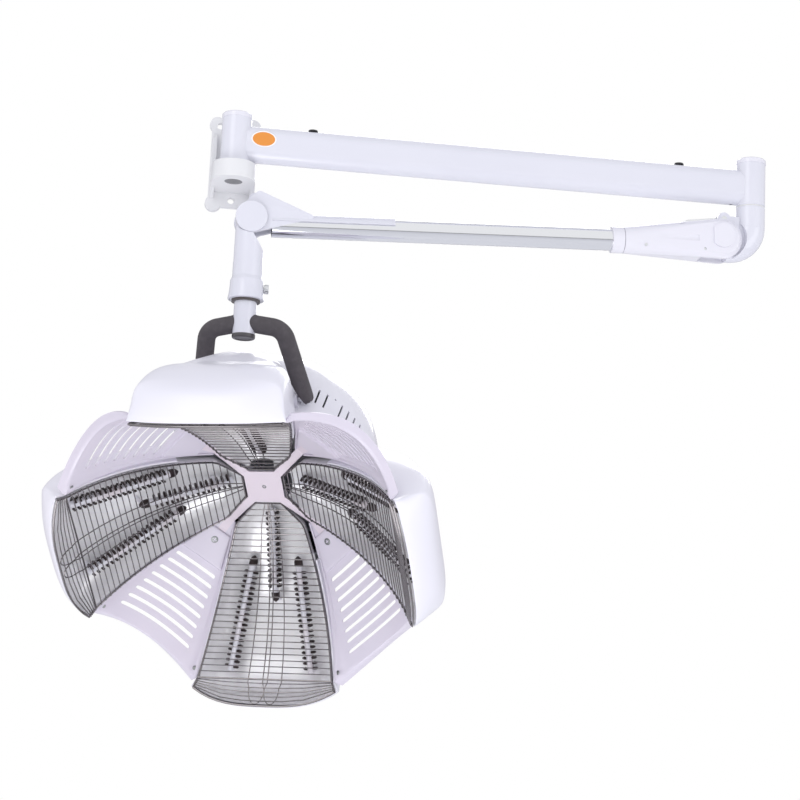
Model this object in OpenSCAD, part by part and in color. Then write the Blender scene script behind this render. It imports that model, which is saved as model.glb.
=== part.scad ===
// Wall-mounted hood hair dryer: a bracket, two jointed arms, a swivel stem with a
// carrying handle, and a tilting hood with four heated petals round a domed rear housing.
// Millimetres. +Z up, the wall is the plane y = 0, the arms fold out towards -Y and +X.

/* [Wall bracket] */
// Width of the bracket plate across its ears
plate_w = 70; // [66:1:90]
// Height of the bracket plate
plate_h = 134; // [128:1:170]
// Thickness of the bracket plate
plate_t = 8; // [6:1:12]
// Diameter of the wall screw holes
hole_d = 9; // [6:0.5:10]
// Distance between the two upper screw holes
hole_gap = 41; // [38:1:46]
// Height of the upper screw holes above the origin
high_hole_z = 54; // [50:1:56]
// Depth of the lower screw hole below the origin
low_hole_z = 51; // [48:1:54]
// Distance from the wall to the main pivot axis
pivot_out = 62; // [56:1:80]
// Diameter of the lug that carries the pivot post
lug_d = 58; // [50:1:66]
// Height of the lug
lug_h = 24; // [20:1:32]

/* [Pivots] */
// Diameter of the upright pivot posts
post_d = 24; // [18:1:26]
// Radial clearance of every running fit
run_gap = 0.05; // [0.02:0.01:0.09]
// Clearance between faces that turn on each other
face_gap = 0.3; // [0.2:0.1:0.6]
// Diameter of the level pivot pins at both ends of the lower arm
pin_d = 16; // [12:1:18]
// Diameter of the levelling link's pins
link_pin_d = 8; // [6:0.5:9]

/* [Upper arm] */
// Distance between the two upright pivot axes
arm_len = 715; // [560:5:900]
// Height of the arm tube
arm_h = 50; // [44:1:60]
// Depth of the arm tube
arm_w = 30; // [26:1:36]
// Wall of the arm tube
arm_wall = 2; // [1.5:0.1:3]
// Height of the arm's axis above the origin
arm_z = 13; // [11:1:16]
// Outer diameter of the pivot barrels
barrel_d = 40; // [36:1:50]
// Wall of the pivot barrels
barrel_wall = 3; // [2:0.5:4]
// Height of a barrel above the arm's axis, with its cap
barrel_up = 41; // [38:1:50]
// Depth of a barrel below the arm's axis
barrel_down = 27; // [26:1:34]
// Height of a barrel cap
cap_h = 7; // [5:1:10]
// Distance of each cable grommet from its pivot axis
grommet_in = 103; // [80:1:130]

/* [Elbow] */
// Horizontal distance from the outer upright axis to the elbow's level pivot
elbow_back = 44; // [42:1:52]
// Height from the upper arm's axis down to the elbow's level pivot
elbow_drop = 75; // [74:1:84]
// Outer diameter of the elbow casting
elbow_d = 40; // [36:1:44]
// Bend radius of the elbow casting's centre line
elbow_bend = 30; // [26:1:34]
// Thickness of the tongues that the level pins pass through
tongue_t = 20; // [16:1:22]
// Height of the levelling link's pins above the level pivots
link_up = 26; // [25:1:30]
// Sideways offset of the levelling link's pins
link_in = 4; // [2:1:6]

/* [Lower arm] */
// Distance between the two level pivots
lower_len = 645; // [560:5:760]
// Slope of the lower arm at rest, head end down
lower_slope = 2.6; // [0:0.2:4]
// Outer diameter of the chrome tube
tube_d = 30; // [30:1:34]
// Wall of the chrome tube
tube_wall = 2; // [1:0.5:2]
// Depth of the tube's axis below the line through the pivots
tube_drop = 8; // [6:1:9]
// Length of the moulded housing from the elbow pivot
housing_len = 136; // [125:1:150]
// Half depth of the moulded housing
housing_half = 21; // [20:1:24]
// Radius of the housing's round end
housing_end = 28; // [27:1:30]
// Wall of the moulded housing
housing_wall = 3; // [2:0.5:4]
// Length of the clamp collar on the tube
collar_len = 16; // [12:1:20]
// Reach of the saddle along the tube from the head pivot
saddle_len = 193; // [170:1:220]
// Height of the levelling link's flat bar
link_h = 7; // [6:0.5:8]
// Thickness of the levelling link's flat bar
link_t = 5; // [4:0.5:6]
// Diameter of the balance spring's wire
spring_wire = 2.4; // [2:0.2:3]
// Turns in the balance spring
spring_turns = 14; // [10:1:18]

/* [Head column] */
// Outer diameter of the head column
column_d = 40; // [38:1:46]
// Length of the column below the head pivot
column_len = 111; // [100:1:130]
// Diameter of the column's lower collar
collar_d = 44; // [42:1:50]
// Diameter of the swivelling stem
stem_d = 30; // [28:1:32]
// Wall of the stem
stem_wall = 2.5; // [2:0.5:4]
// Length of the stem below the column
stem_out = 47; // [42:1:70]
// Turn of the stem and hood to the left at rest
swivel = 20; // [0:1:40]

/* [Handle] */
// Height of the handle's cross bar above the stem's lower end
bar_up = 17; // [15:1:20]
// Diameter of the handle's steel tube
handle_d = 16; // [14:1:18]
// Diameter of the foam grips
grip_d = 24; // [21:1:26]
// Distance from the cross bar down to the tilt axis
leg_len = 107.6; // [100:0.1:125]
// Half distance between the leg ends
leg_half = 73; // [72:0.5:78]
// Slant of the legs to the rear
slant = 33.2; // [25:0.2:38]
// Droop of the cross bar on each side
bar_droop = 10; // [4:1:14]
// Splay of the legs
leg_splay = 12; // [8:1:14]
// Bend radius of the handle's centre line
handle_bend = 22; // [20:1:26]

/* [Hood] */
// Tilt of the hood's axis below the horizontal at rest
tilt = 47; // [35:1:60]
// Height of the tilt axis above the hood's axis
tilt_up = 132; // [131:1:138]
// Distance of the tilt axis behind the centre plate
tilt_back = 22; // [20:1:26]
// Radius of the domed rear housing
dome_r = 145; // [143:1:147]
// Distance of the dome's centre behind the centre plate
dome_back = 60; // [58:1:64]
// Wall of the dome
dome_wall = 3; // [2:0.5:4]
// Radius of the dome's straight front skirt
skirt_r = 134; // [132:1:136]
// Number of vent places in each group of slots
vent_places = 7; // [5:2:9]
// Angle between neighbouring vent places
vent_step = 5; // [4:0.5:6]
// Length of a vent slot
vent_len = 27; // [20:1:32]
// Width of a vent slot
vent_w = 2.6; // [2:0.2:4]

/* [Petals] */
// Radius at which the petals begin
hub_r = 50; // [48:1:54]
// Radius of the petals' curved inner face
bowl_r = 325; // [300:5:350]
// Half width of the hub's cover plate
plate_half = 26; // [22:1:28]
// Slope of the inner face at the hub
hub_angle = 20.6; // [18:0.2:23]
// Slope of the inner face at the bend
rim_angle = 61; // [57:0.5:64]
// Height of the inner face at the hub
hub_z = 4; // [2:1:6]
// Length of the straight stretch beyond the bend
rim_len = 38; // [30:1:44]
// Half width of a petal at the hub
hub_half = 49; // [46:1:49]
// Gain in half width per millimetre of radius
flare = 0.294; // [0.26:0.002:0.31]
// Wall of the petal covers
cover_wall = 2.5; // [2:0.5:3.5]
// Thickness of the reflector sheet
mirror_t = 1; // [0.8:0.1:1.5]
// How far the rim's corners fall back, as a share of the straight stretch
rim_bow = 0.42; // [0.2:0.02:0.5]
// Diameter of the grille's cross wires
wire_d = 2; // [1.6:0.1:2.6]
// Diameter of the grille's frame wires
frame_wire_d = 3; // [2.6:0.2:4]
// Cross wires between the hub and the bend
main_wires = 27; // [15:1:30]
// Cross wires beyond the bend
rim_wires = 5; // [3:1:6]
// Distance of the heating elements behind the grille
heater_depth = 24; // [22:1:26]
// Outer diameter of the heating coils
coil_d = 18; // [14:1:20]
// Diameter of the elements' ceramic core
core_d = 10; // [8:1:12]
// Pitch of the coil's turns
coil_pitch = 6.4; // [5:0.2:9]

/* [Gussets] */
// Thickness of the slotted gussets
gusset_t = 2.5; // [2:0.5:3.5]
// Number of slots in each gusset
slot_count = 8; // [5:1:9]
// Width of a slot
slot_w = 4.6; // [3:0.2:5.4]
// How far the rim is hollowed at its middle
rim_hollow = 20; // [10:1:26]

/* [Controls] */
// Diameter of the control panel
panel_d = 94; // [90:1:96]
// Width of the power switch
rocker_w = 21; // [18:0.5:24]
// Height of the power switch
rocker_h = 15; // [13:0.5:17]

/* [Hidden] */
$fn = 48;

// Overshoot that lets a cut pass cleanly through a face
cut = 1;
// Colours
white = [0.93, 0.93, 0.96];
lilac = [0.85, 0.81, 0.87];
grey_foam = [0.34, 0.33, 0.34];
steel = [0.78, 0.79, 0.81];

// Places of the pivots
elbow_x = arm_len - elbow_back;
elbow_z = arm_z - elbow_drop;
head_x = elbow_x - lower_len * cos(lower_slope);
head_z = elbow_z - lower_len * sin(lower_slope);
column_low = head_z - column_len;
bar_z = column_low - stem_out + bar_up;
barrel_bore = barrel_d - 2 * barrel_wall;
flange_t = 2;
post_top = barrel_up - cap_h - 13;

module at_inner() translate([0, -pivot_out, arm_z]) children();
module at_outer() translate([arm_len, -pivot_out, arm_z]) children();
module at_elbow() translate([elbow_x, -pivot_out, elbow_z]) children();
module on_lower_arm() at_elbow() rotate([0, -lower_slope, 0]) children();
module at_head() translate([head_x, -pivot_out, head_z]) children();
module at_bar() translate([head_x, -pivot_out, bar_z]) rotate([0, 0, -swivel]) children();
module in_handle() at_bar() rotate([slant, 0, 0]) children();
module in_hood()
    at_bar() translate([0, leg_len * sin(slant), -leg_len * cos(slant)])
        rotate([90 + tilt, 0, 0]) translate([0, -tilt_up, tilt_back]) children();

// A cylinder along Y, centred on y = 0
module y_cyl(d, h) rotate([90, 0, 0]) cylinder(d = d, h = h, center = true);
// A cylinder along X from x = 0
module x_cyl(d, h) rotate([0, 90, 0]) cylinder(d = d, h = h);
// A round bar between two points
module bar(p, q, d, sides) {
    run = q - p;
    reach = norm(run);
    translate(p) rotate([0, acos(run.z / reach), atan2(run.y, run.x)])
        cylinder(d = d, h = reach, $fn = sides);
}

// ---------- wall bracket ----------

ear_r = 11;
lug_top = -barrel_down - flange_t - face_gap;

module plate_outline() {
    square([plate_w - 7, plate_h - 13], center = true);
    for (sx = [-1, 1], sz = [-1, 1])
        translate([sx * (plate_w / 2 - ear_r), sz * (plate_h / 2 - ear_r)]) circle(r = ear_r);
}

module wall_bracket() color([0.92, 0.92, 0.93]) difference() {
    rib_t = 5;
    lug_low = arm_z + lug_top - lug_h;
    union() {
        rotate([90, 0, 0]) linear_extrude(plate_t) plate_outline();
        translate([0, -pivot_out, lug_low]) cylinder(d = lug_d, h = lug_h);
        translate([-lug_d / 2, -pivot_out, lug_low]) cube([lug_d, pivot_out, lug_h]);
        for (x = [-lug_d / 2, lug_d / 2 - rib_t]) translate([x, 0, 0])
            rotate([90, 0, 90]) linear_extrude(rib_t)
                polygon([[0, lug_low - 9], [-plate_t, lug_low - 9], [-34, lug_low],
                         [-24, lug_low + lug_h], [-18, 34], [-plate_t, 42], [0, 42]]);
    }
    translate([0, -pivot_out, lug_low - cut]) cylinder(d = post_d, h = lug_h + 2 * cut);
    for (x = [-hole_gap / 2, hole_gap / 2])
        translate([x, -plate_t / 2, high_hole_z]) y_cyl(hole_d, plate_t + 2 * cut);
    translate([0, -plate_t / 2, -low_hole_z]) y_cyl(hole_d, plate_t + 2 * cut);
}

// A turned post with a retaining collar above the upper bush
module post(low) {
    translate([0, 0, low]) cylinder(d = post_d, h = post_top - low);
    translate([0, 0, post_top]) cylinder(d = post_d + 6, h = 3);
    translate([0, 0, post_top + 3]) cylinder(d = 13, h = 4, $fn = 6);
}

module pivot_post() color("dimgray") at_inner() post(lug_top - lug_h);

// ---------- upper arm ----------

module oval(h, w) {
    for (s = [-1, 1]) translate([0, s * (h - w) / 2]) circle(d = w);
    square([w, h - w], center = true);
}

module upper_arm_tube() color(white) at_inner() difference() {
    rotate([90, 0, 90]) linear_extrude(arm_len) difference() {
        oval(arm_h, arm_w);
        oval(arm_h - 2 * arm_wall, arm_w - 2 * arm_wall);
    }
    for (x = [0, arm_len]) translate([x, 0, 0])
        cylinder(d = barrel_d, h = 2 * arm_h, center = true);
    for (x = [grommet_in, arm_len - grommet_in])
        translate([x, 0, arm_h / 2 - 6]) cylinder(d = 10, h = 10);
    translate([arm_len - barrel_d / 2 - 8, 0, -arm_h / 2 - cut]) cylinder(d = 6, h = 4);
}

module barrel() {
    r_out = barrel_d / 2;
    r_in = barrel_bore / 2;
    top = barrel_up - cap_h;
    low = -barrel_down;
    rotate_extrude() polygon([[r_in, low], [r_out - 1, low], [r_out, low + 1],
        [r_out, top], [r_in, top]]);
}
module inner_barrel() color(white) at_inner() barrel();
module outer_barrel() color(white) at_outer() barrel();

module cap() {
    rotate_extrude() polygon([[0, -5], [barrel_bore / 2, -5], [barrel_bore / 2, 0],
        [barrel_d / 2 + 0.6, 0], [barrel_d / 2 + 0.6, cap_h - 1.5],
        [barrel_d / 2 - 1, cap_h], [0, cap_h]]);
}
module barrel_caps() color([0.96, 0.96, 0.98]) {
    at_inner() translate([0, 0, barrel_up - cap_h]) cap();
    at_outer() translate([0, 0, barrel_up - cap_h]) cap();
}

// Flanged plastic bush; its flange bears on what the barrel turns on
module bush() {
    r_in = post_d / 2 + run_gap;
    rotate_extrude() polygon([[r_in, -flange_t], [barrel_d / 2 - 1, -flange_t],
        [barrel_d / 2 - 1, 0], [barrel_bore / 2, 0], [barrel_bore / 2, 16], [r_in, 16]]);
}
module upper_sleeve() {
    rotate_extrude() translate([post_d / 2 + run_gap, 0])
        square([barrel_bore / 2 - post_d / 2 - run_gap, 16]);
}
module bush_pair() {
    translate([0, 0, -barrel_down]) bush();
    translate([0, 0, post_top - 16 - face_gap]) upper_sleeve();
}
module arm_bushes() color("gainsboro") {
    at_inner() bush_pair();
    at_outer() bush_pair();
}

module cable_grommets() color([0.12, 0.12, 0.12])
    at_inner() for (x = [grommet_in, arm_len - grommet_in])
        translate([x, 0, arm_h / 2]) rotate_extrude()
            polygon([[3, -4], [5, -4], [5, 0.4], [7, 0.4], [6.2, 2.6], [4, 3.2], [3, 2.4]]);

// ---------- elbow ----------

elbow_top = -barrel_down - flange_t - face_gap;
elbow_arm_z = -elbow_drop - 13;
// Step where a bent round bar joins its straight ends
bend_step = 0.15;

// Fork slot for the levelling link's eye, open towards the arm: -1 to the left, 1 to the right
module link_groove(side) intersection() {
    difference() {
        y_cyl(90, 8.8);
        y_cyl(23.2, 10);
    }
    translate([side < 0 ? -50 : link_in - 10, -10, -14])
        cube([side < 0 ? 60 + link_in : 60, 20, 80]);
}

// Tongue with a level pivot at its origin and the levelling link's lug above it
module tongue_outline() {
    circle(d = 40);
    translate([link_in, link_up]) circle(d = 18);
    polygon([[link_in - 8.8, link_up], [link_in + 8.8, link_up], [18, 7], [-17, 7]]);
}
module tongue(side) difference() {
    translate([0, tongue_t / 2, 0]) rotate([90, 0, 0]) linear_extrude(tongue_t)
        tongue_outline();
    y_cyl(pin_d, tongue_t + 2 * cut);
    translate([link_in, 0, link_up]) y_cyl(link_pin_d, tongue_t + 2 * cut);
    link_groove(side);
}

module elbow_casting() color(white) at_outer() {
    difference() {
        union() {
            translate([0, 0, elbow_arm_z + elbow_bend - 1])
                cylinder(d = elbow_d, h = elbow_top - elbow_arm_z - elbow_bend + 1);
            translate([-elbow_bend, 0, elbow_arm_z + elbow_bend]) rotate([-90, 0, 0])
                rotate_extrude(angle = 90) translate([elbow_bend, 0])
                    circle(d = elbow_d - 2 * bend_step);
            translate([-elbow_bend - 6, 0, elbow_arm_z]) x_cyl(elbow_d, 7);
        }
        translate([-elbow_back, 0, -elbow_drop]) for (s = [-1, 1])
            translate([0, s * (tongue_t / 2 + 20), 0]) y_cyl(68, 40);
        translate([0, 0, elbow_top - 14]) cylinder(d = post_d, h = 20);
        translate([-elbow_back, 0, -elbow_drop]) {
            y_cyl(pin_d, tongue_t + 2 * cut);
            link_groove(-1);
        }
    }
    translate([-elbow_back, 0, -elbow_drop]) difference() {
        union() {
            tongue(-1);
            translate([8, -tongue_t / 2, -26]) cube([10, tongue_t, 44]);
            translate([12, -tongue_t / 2, 12]) cube([14, tongue_t, 18]);
        }
        link_groove(-1);
        y_cyl(pin_d, tongue_t + 2 * cut);
    }
}

module elbow_post() color("dimgray") at_outer() post(elbow_top - 14);

module elbow_pins() color(steel) at_elbow() {
    y_cyl(pin_d, 2 * housing_half - 2);
    translate([link_in, 0, link_up]) y_cyl(link_pin_d, tongue_t + 0.2);
}

// ---------- levelling link ----------

// Height of the link inside the tube, above the tube's axis
link_lift = 3.5;

module link_eye() difference() {
    y_cyl(16, 8);
    y_cyl(link_pin_d + 2 * run_gap, 10);
}

module level_link() color(steel) on_lower_arm() {
    turn = atan2(link_in, link_up) + lower_slope;
    radius = norm([link_in, link_up]);
    eye_x = radius * sin(turn);
    eye_z = radius * cos(turn);
    low = -tube_drop + link_lift;
    path = [[eye_x - 6, eye_z - 0.4], [-44, 21], [-104, low],
        [-lower_len + 104, low], [-lower_len + 46, 17], [eye_x - lower_len + 6, eye_z - 0.6]];
    for (x = [0, -lower_len]) translate([eye_x + x, 0, eye_z]) link_eye();
    translate([0, link_t / 2, 0]) rotate([90, 0, 0]) linear_extrude(link_t)
        polygon(concat([for (p = path) p + [0, link_h / 2]],
            [for (i = [len(path) - 1 : -1 : 0]) path[i] - [0, link_h / 2]]));
}

// ---------- lower arm ----------

tube_end = lower_len - 28;
slot_len = 76;

module chrome_tube() color(steel) on_lower_arm() difference() {
    translate([-tube_end, 0, -tube_drop]) difference() {
        x_cyl(tube_d, tube_end - housing_len + 12);
        translate([-cut, 0, 0]) x_cyl(tube_d - 2 * tube_wall, tube_end);
    }
    translate([-tube_end - cut, -5, -tube_drop]) cube([slot_len, 10, tube_d]);
}

module housing_outer() hull() {
    translate([0, 0, -4]) y_cyl(2 * housing_end, 2 * housing_half - 10);
    translate([0, 0, -4]) y_cyl(2 * housing_end - 10, 2 * housing_half);
    translate([-housing_len, 0, -tube_drop]) x_cyl(tube_d + 6, 10);
}

module housing_cavity() {
    hull() {
        translate([-50, 0, -5]) y_cyl(2 * housing_end - 14, 2 * housing_half - 10);
        translate([-housing_len + 3, 0, -tube_drop]) x_cyl(tube_d + 0.6, 12);
    }
    gap = tongue_t / 2 + face_gap;
    translate([-30, -gap, -50]) cube([80, 2 * gap, 100]);
    translate([-82, -5, 0]) cube([60, 10, 40]);
    translate([-housing_len - cut, 0, -tube_drop]) x_cyl(tube_d, 20);
    y_cyl(pin_d + 2 * run_gap, 60);
}

// The two moulded halves of the housing, split along the arm; side -1 faces the room
module housing_half_shell(side) color(white) on_lower_arm() difference() {
    intersection() {
        housing_outer();
        translate([-200, side < 0 ? -50 : 0, -60]) cube([260, 50, 120]);
    }
    housing_cavity();
    for (x = [-60, -96]) translate([x, side * (housing_half + 4), -6])
        rotate([0, 90, 0]) translate([0, 0, -14]) cylinder(d = 12, h = 40);
    for (x = [-26, -108]) translate([x, -housing_half, -22 - 0.04 * x]) y_cyl(4, 16);
}
module housing_front() housing_half_shell(-1);
module housing_rear() housing_half_shell(1);

module tube_collar() color(white) on_lower_arm()
    translate([-housing_len - 0.8 - collar_len, 0, -tube_drop]) difference() {
        x_cyl(tube_d + 6, collar_len);
        translate([-cut, 0, 0]) x_cyl(tube_d, collar_len + 2 * cut);
        translate([collar_len / 2, 0, 10]) cylinder(d = 4, h = 20);
    }

// D-shaped caps over the ends of the elbow pin
module pivot_caps() color(white) on_lower_arm() for (s = [-1, 1])
    translate([0, s * (housing_half + 1.2), -1]) intersection() {
        y_cyl(34, 2.4);
        translate([-13, -5, -20]) cube([40, 10, 40]);
    }

spring_r = 10;
spring_start = 240;
spring_end = 400;

// Points of the spring's wire: one ring of the tube every tenth of a turn
wire_sides = 5;
ring_steps = 10 * spring_turns;
spring_pitch = (spring_end - spring_start) / spring_turns;
function spring_ring(i) = let (turn = 36 * i, along = spring_start + spring_pitch * i / 10)
    [for (k = [0 : wire_sides - 1]) let (w = 360 * k / wire_sides,
        r = spring_r + spring_wire / 2 * cos(w))
        [-along + spring_wire / 2 * sin(w), r * cos(turn), r * sin(turn)]];

module balance_spring() color("gray") on_lower_arm()
    translate([0, 0, -tube_drop]) polyhedron(
        points = [for (i = [0 : ring_steps]) each spring_ring(i)],
        faces = concat(
            [[for (k = [0 : wire_sides - 1]) k]],
            [for (i = [0 : ring_steps - 1], k = [0 : wire_sides - 1])
                let (a = i * wire_sides + k, b = i * wire_sides + (k + 1) % wire_sides)
                [a, a + wire_sides, b + wire_sides]],
            [for (i = [0 : ring_steps - 1], k = [0 : wire_sides - 1])
                let (a = i * wire_sides + k, b = i * wire_sides + (k + 1) % wire_sides)
                [a, b + wire_sides, b]],
            [[for (k = [0 : wire_sides - 1]) ring_steps * wire_sides + wire_sides - 1 - k]]));

module spring_seats() color("gray") on_lower_arm()
    for (x = [spring_start - 8, spring_end + 2]) translate([-x - 6, 0, -tube_drop])
        difference() {
            x_cyl(tube_d - 2 * tube_wall, 6);
            translate([-cut, 0, 0]) x_cyl(17.6, 6 + 2 * cut);
        }

// Saddle: a formed bracket over the tube's end, with cheeks beside the head pivot
module saddle() color(white) on_lower_arm() translate([-lower_len, 0, 0]) difference() {
    half = tongue_t / 2 + 5;
    union() {
        hull() {
            y_cyl(42, 2 * half);
            translate([11, 0, 31]) y_cyl(12, 2 * half - 4);
            translate([80, 0, 3]) y_cyl(6, 2 * half);
        }
        translate([28, 0, -tube_drop]) intersection() {
            x_cyl(tube_d + 4, saddle_len - 28);
            translate([0, -30, 4]) cube([saddle_len, 60, 40]);
        }
    }
    gap = tongue_t / 2 + face_gap;
    translate([-50, -gap, -50]) cube([50 + link_up + 5, 2 * gap, 100]);
    translate([20, -5, -10]) cube([86, 10, 37]);
    translate([28, 0, -tube_drop]) x_cyl(tube_d, saddle_len);
    y_cyl(pin_d + 2 * run_gap, 60);
    translate([-40, -30, -60]) cube([120, 60, 60 - 21]);
}

module housing_screws() color(steel) on_lower_arm() {
    translate([-housing_len - 0.8 - collar_len / 2, 0, -tube_drop + tube_d / 2])
        cylinder(d = 4, h = 4);
    for (x = [-26, -108]) translate([x, -housing_half + 4.4, -22 - 0.04 * x])
        y_cyl(4, 5);
}

// ---------- head column ----------

module head_column() color(white) at_head() difference() {
    union() {
        translate([0, 0, -62]) cylinder(d = column_d - 0.6, h = 50);
        translate([0, 0, -column_len + 30]) cylinder(d = column_d, h = column_len - 90);
        translate([0, 0, -column_len]) rotate_extrude() polygon([
            [0, 0], [collar_d / 2 - 1, 0], [collar_d / 2, 1], [collar_d / 2, 26],
            [column_d / 2, 31], [0, 31]]);
        tongue(1);
        translate([-14, -tongue_t / 2, -34]) cube([26, tongue_t, 30]);
    }
    for (s = [-1, 1]) translate([0, s * (tongue_t / 2 + 20), 0]) y_cyl(43.6, 40);
    translate([3, -30, -22]) rotate([0, 54.4, 0]) translate([-6, 0, 0]) cube([60, 60, 30]);
    y_cyl(pin_d, 60);
    translate([0, 0, -column_len - cut]) cylinder(d = stem_d + 3, h = 73);
    translate([0, 0, -column_len + 17]) x_cyl(5, 40);
    link_groove(1);
}

module head_pins() color(steel) at_head() {
    y_cyl(pin_d, tongue_t + 13);
    for (s = [-1, 1]) translate([0, s * (tongue_t / 2 + 6.5), 0]) y_cyl(28, 2.4);
    translate([link_in, 0, link_up]) y_cyl(link_pin_d, tongue_t);
}

module column_bush() color("gainsboro") translate([head_x, -pivot_out, column_low])
    rotate_extrude() polygon([[stem_d / 2 + run_gap, -3], [stem_d / 2 + 4, -3],
        [stem_d / 2 + 4, -face_gap / 3], [stem_d / 2 + 1.5, -face_gap / 3],
        [stem_d / 2 + 1.5, 14], [stem_d / 2 + run_gap, 14]]);

module thumb_screw() color(steel) translate([head_x, -pivot_out, column_low + 17]) {
    translate([stem_d / 2 + 2.4, 0, 0]) x_cyl(4.9, 12);
    translate([collar_d / 2 + 1.2, 0, 0]) x_cyl(12, 6);
    for (k = [0 : 11]) rotate([30 * k, 0, 0]) translate([collar_d / 2 + 1.8, 0, 5.6])
        x_cyl(1.8, 4.8, $fn = 8);
}

// ---------- stem and handle ----------

module stem() color(white) difference() {
    low = column_low - stem_out;
    translate([head_x, -pivot_out, low]) difference() {
        cylinder(d = stem_d, h = stem_out + 68);
        translate([0, 0, -cut]) cylinder(d = stem_d - 2 * stem_wall, h = stem_out + 80);
    }
    in_handle() for (s = [0, 1]) mirror([s, 0, 0]) rotate([0, bar_droop, 0])
        translate([6, 0, 0]) x_cyl(handle_d - 2 * bend_step, stem_d);
}

module stem_plug() color(grey_foam)
    translate([head_x, -pivot_out, column_low - stem_out]) rotate_extrude()
        polygon([[0, -3], [stem_d / 2 - 3, -3], [stem_d / 2 - 0.5, -2], [stem_d / 2, 0],
            [stem_d / 2 - stem_wall, 0], [stem_d / 2 - stem_wall, 5], [0, 5]]);

// The handle's corner, where the bar's line meets the leg's line
lean = tan(leg_splay);
corner_x = (leg_half - leg_len * lean) / (1 - tan(bar_droop) * lean);
corner_z = -corner_x * tan(bar_droop);
handle_turn = 90 - leg_splay - bar_droop;
corner_cut = handle_bend * tan(handle_turn / 2);
bar_run = norm([corner_x, corner_z]) - corner_cut;
leg_run = norm([leg_half - corner_x, leg_len + corner_z]) - corner_cut;

// One side of the handle as a bent round bar, from `start` along the bar to `stop` short
// of the leg's end
module handle_side(d, start, stop) rotate([90, 0, 0]) rotate([0, 0, -bar_droop]) {
    lap = 1.2;
    straight = d - 2 * bend_step;
    translate([start, 0, 0]) x_cyl(straight, bar_run - start + lap);
    translate([bar_run, -handle_bend, 0]) rotate([0, 0, 90 - handle_turn]) {
        rotate_extrude(angle = handle_turn) translate([handle_bend, 0]) circle(d = d);
        translate([handle_bend, lap, 0]) rotate([90, 0, 0])
            cylinder(d = straight, h = leg_run - stop + lap);
    }
}

module handle_tube() color(steel) in_handle() {
    translate([-8, 0, 0]) x_cyl(handle_d + 1, 16);
    for (s = [0, 1]) mirror([s, 0, 0]) difference() {
        union() {
            handle_side(handle_d, 2, 14);
            translate([leg_half, 0, -leg_len]) {
                translate([-4, 0, 0]) x_cyl(18, 8);
                rotate([0, -leg_splay, 0]) translate([-4, -8, 0]) cube([8, 16, 16]);
            }
        }
        translate([leg_half - 20, 0, -leg_len]) x_cyl(link_pin_d + 2 * run_gap, 40);
    }
}

module grip() difference() {
    handle_side(grip_d, stem_d / 2 + 2.6, 17);
    handle_side(handle_d, stem_d / 2, 10);
}
module grip_right() color(grey_foam) in_handle() grip();
module grip_left() color(grey_foam) in_handle() mirror([1, 0, 0]) grip();

// ---------- petals: the shared curved surface ----------

// A petal is drawn pointing along +Y; `s` runs from 0 at the hub to 1 at the bend and on
// to rim_s at the rim. `t` is the slope there, [pr, pz] the point on the inner face.
arc_len = bowl_r * (rim_angle - hub_angle) * PI / 180;
rim_s = 1 + rim_len / arc_len;
function t(s) = hub_angle + (rim_angle - hub_angle) * min(s, 1);
function pr(s) = hub_r + bowl_r * (sin(t(s)) - sin(hub_angle))
    + max(s - 1, 0) * arc_len * cos(rim_angle);
function pz(s) = hub_z + bowl_r * (cos(hub_angle) - cos(t(s)))
    + max(s - 1, 0) * arc_len * sin(rim_angle);
function half_w(s) = hub_half + (pr(s) - hub_r) * flare;

// Thickness of the petal at its middle and the section's power, against s
cover_law = [[0.265, 77, 2.8], [0.34, 91, 2.6], [0.42, 98, 2.4], [0.5, 96, 2.5],
    [0.6, 86, 2.7], [0.7, 76, 2.9], [0.8, 70, 3], [0.9, 66.5, 3], [1, 63, 3], [1.06, 57, 3],
    [1.1, 49, 3], [1.135, 35, 3], [1.155, 20, 3], [rim_s, 4, 3]];
// Depth of the reflector, against s
mirror_law = [[-0.09, 16], [0.02, 30], [0.14, 35], [0.26, 38], [0.42, 43], [0.6, 47],
    [0.8, 48], [1, 42], [1.06, 35], [1.1, 25], [1.135, 12]];
mirror_inset = cover_wall + 2;
mirror_power = 3;

// Beyond the bend the sides are shorter than the middle, so the rim is bowed
function bowed(s, x) = s < 1 ? s
    : 1 + (s - 1) * (1 - rim_bow * pow(min(abs(x) / half_w(s), 1), 2));
// A point at height k over the inner face, x across
function lifted(s, x, k) = let (u = bowed(s, x))
    [x, pr(u) + k * sin(t(u)), pz(u) - k * cos(t(u))];
// Half width of the petal's mouth, which draws in to the hub's cover plate
function mouth_w(s) = min(half_w(s), pr(s) - 8);
// A section across the petal: a superellipse of half width w, height h and power n
function section(s, w, h, n, steps) = [for (j = [-steps : steps]) let (a = 90 * j / steps)
    lifted(s, w * sign(a) * pow(abs(sin(a)), 2 / n), h * pow(abs(cos(a)), 2 / n))];

// A closed thin shell between two grids of points with the same rows and columns
module shell_between(outer, inner) {
    rows = len(outer);
    cols = len(outer[0]);
    n = rows * cols;
    grid = concat([for (r = outer) each r], [for (r = inner) each r]);
    function quad(a, b, c, d) = [[a, b, c], [a, c, d]];
    polyhedron(points = grid, faces = concat(
        [for (i = [0 : rows - 2], j = [0 : cols - 2]) let (p = i * cols + j)
            each quad(p, p + 1, p + cols + 1, p + cols)],
        [for (i = [0 : rows - 2], j = [0 : cols - 2]) let (p = n + i * cols + j)
            each quad(p, p + cols, p + cols + 1, p + 1)],
        [for (j = [0 : cols - 2]) each quad(j, n + j, n + j + 1, j + 1)],
        [for (j = [0 : cols - 2]) let (p = (rows - 1) * cols + j)
            each quad(p, p + 1, n + p + 1, n + p)],
        [for (i = [0 : rows - 2]) let (p = i * cols)
            each quad(p, p + cols, n + p + cols, n + p)],
        [for (i = [0 : rows - 2]) let (p = i * cols + cols - 1)
            each quad(p, n + p, n + p + cols, p + cols)]));
}

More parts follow.
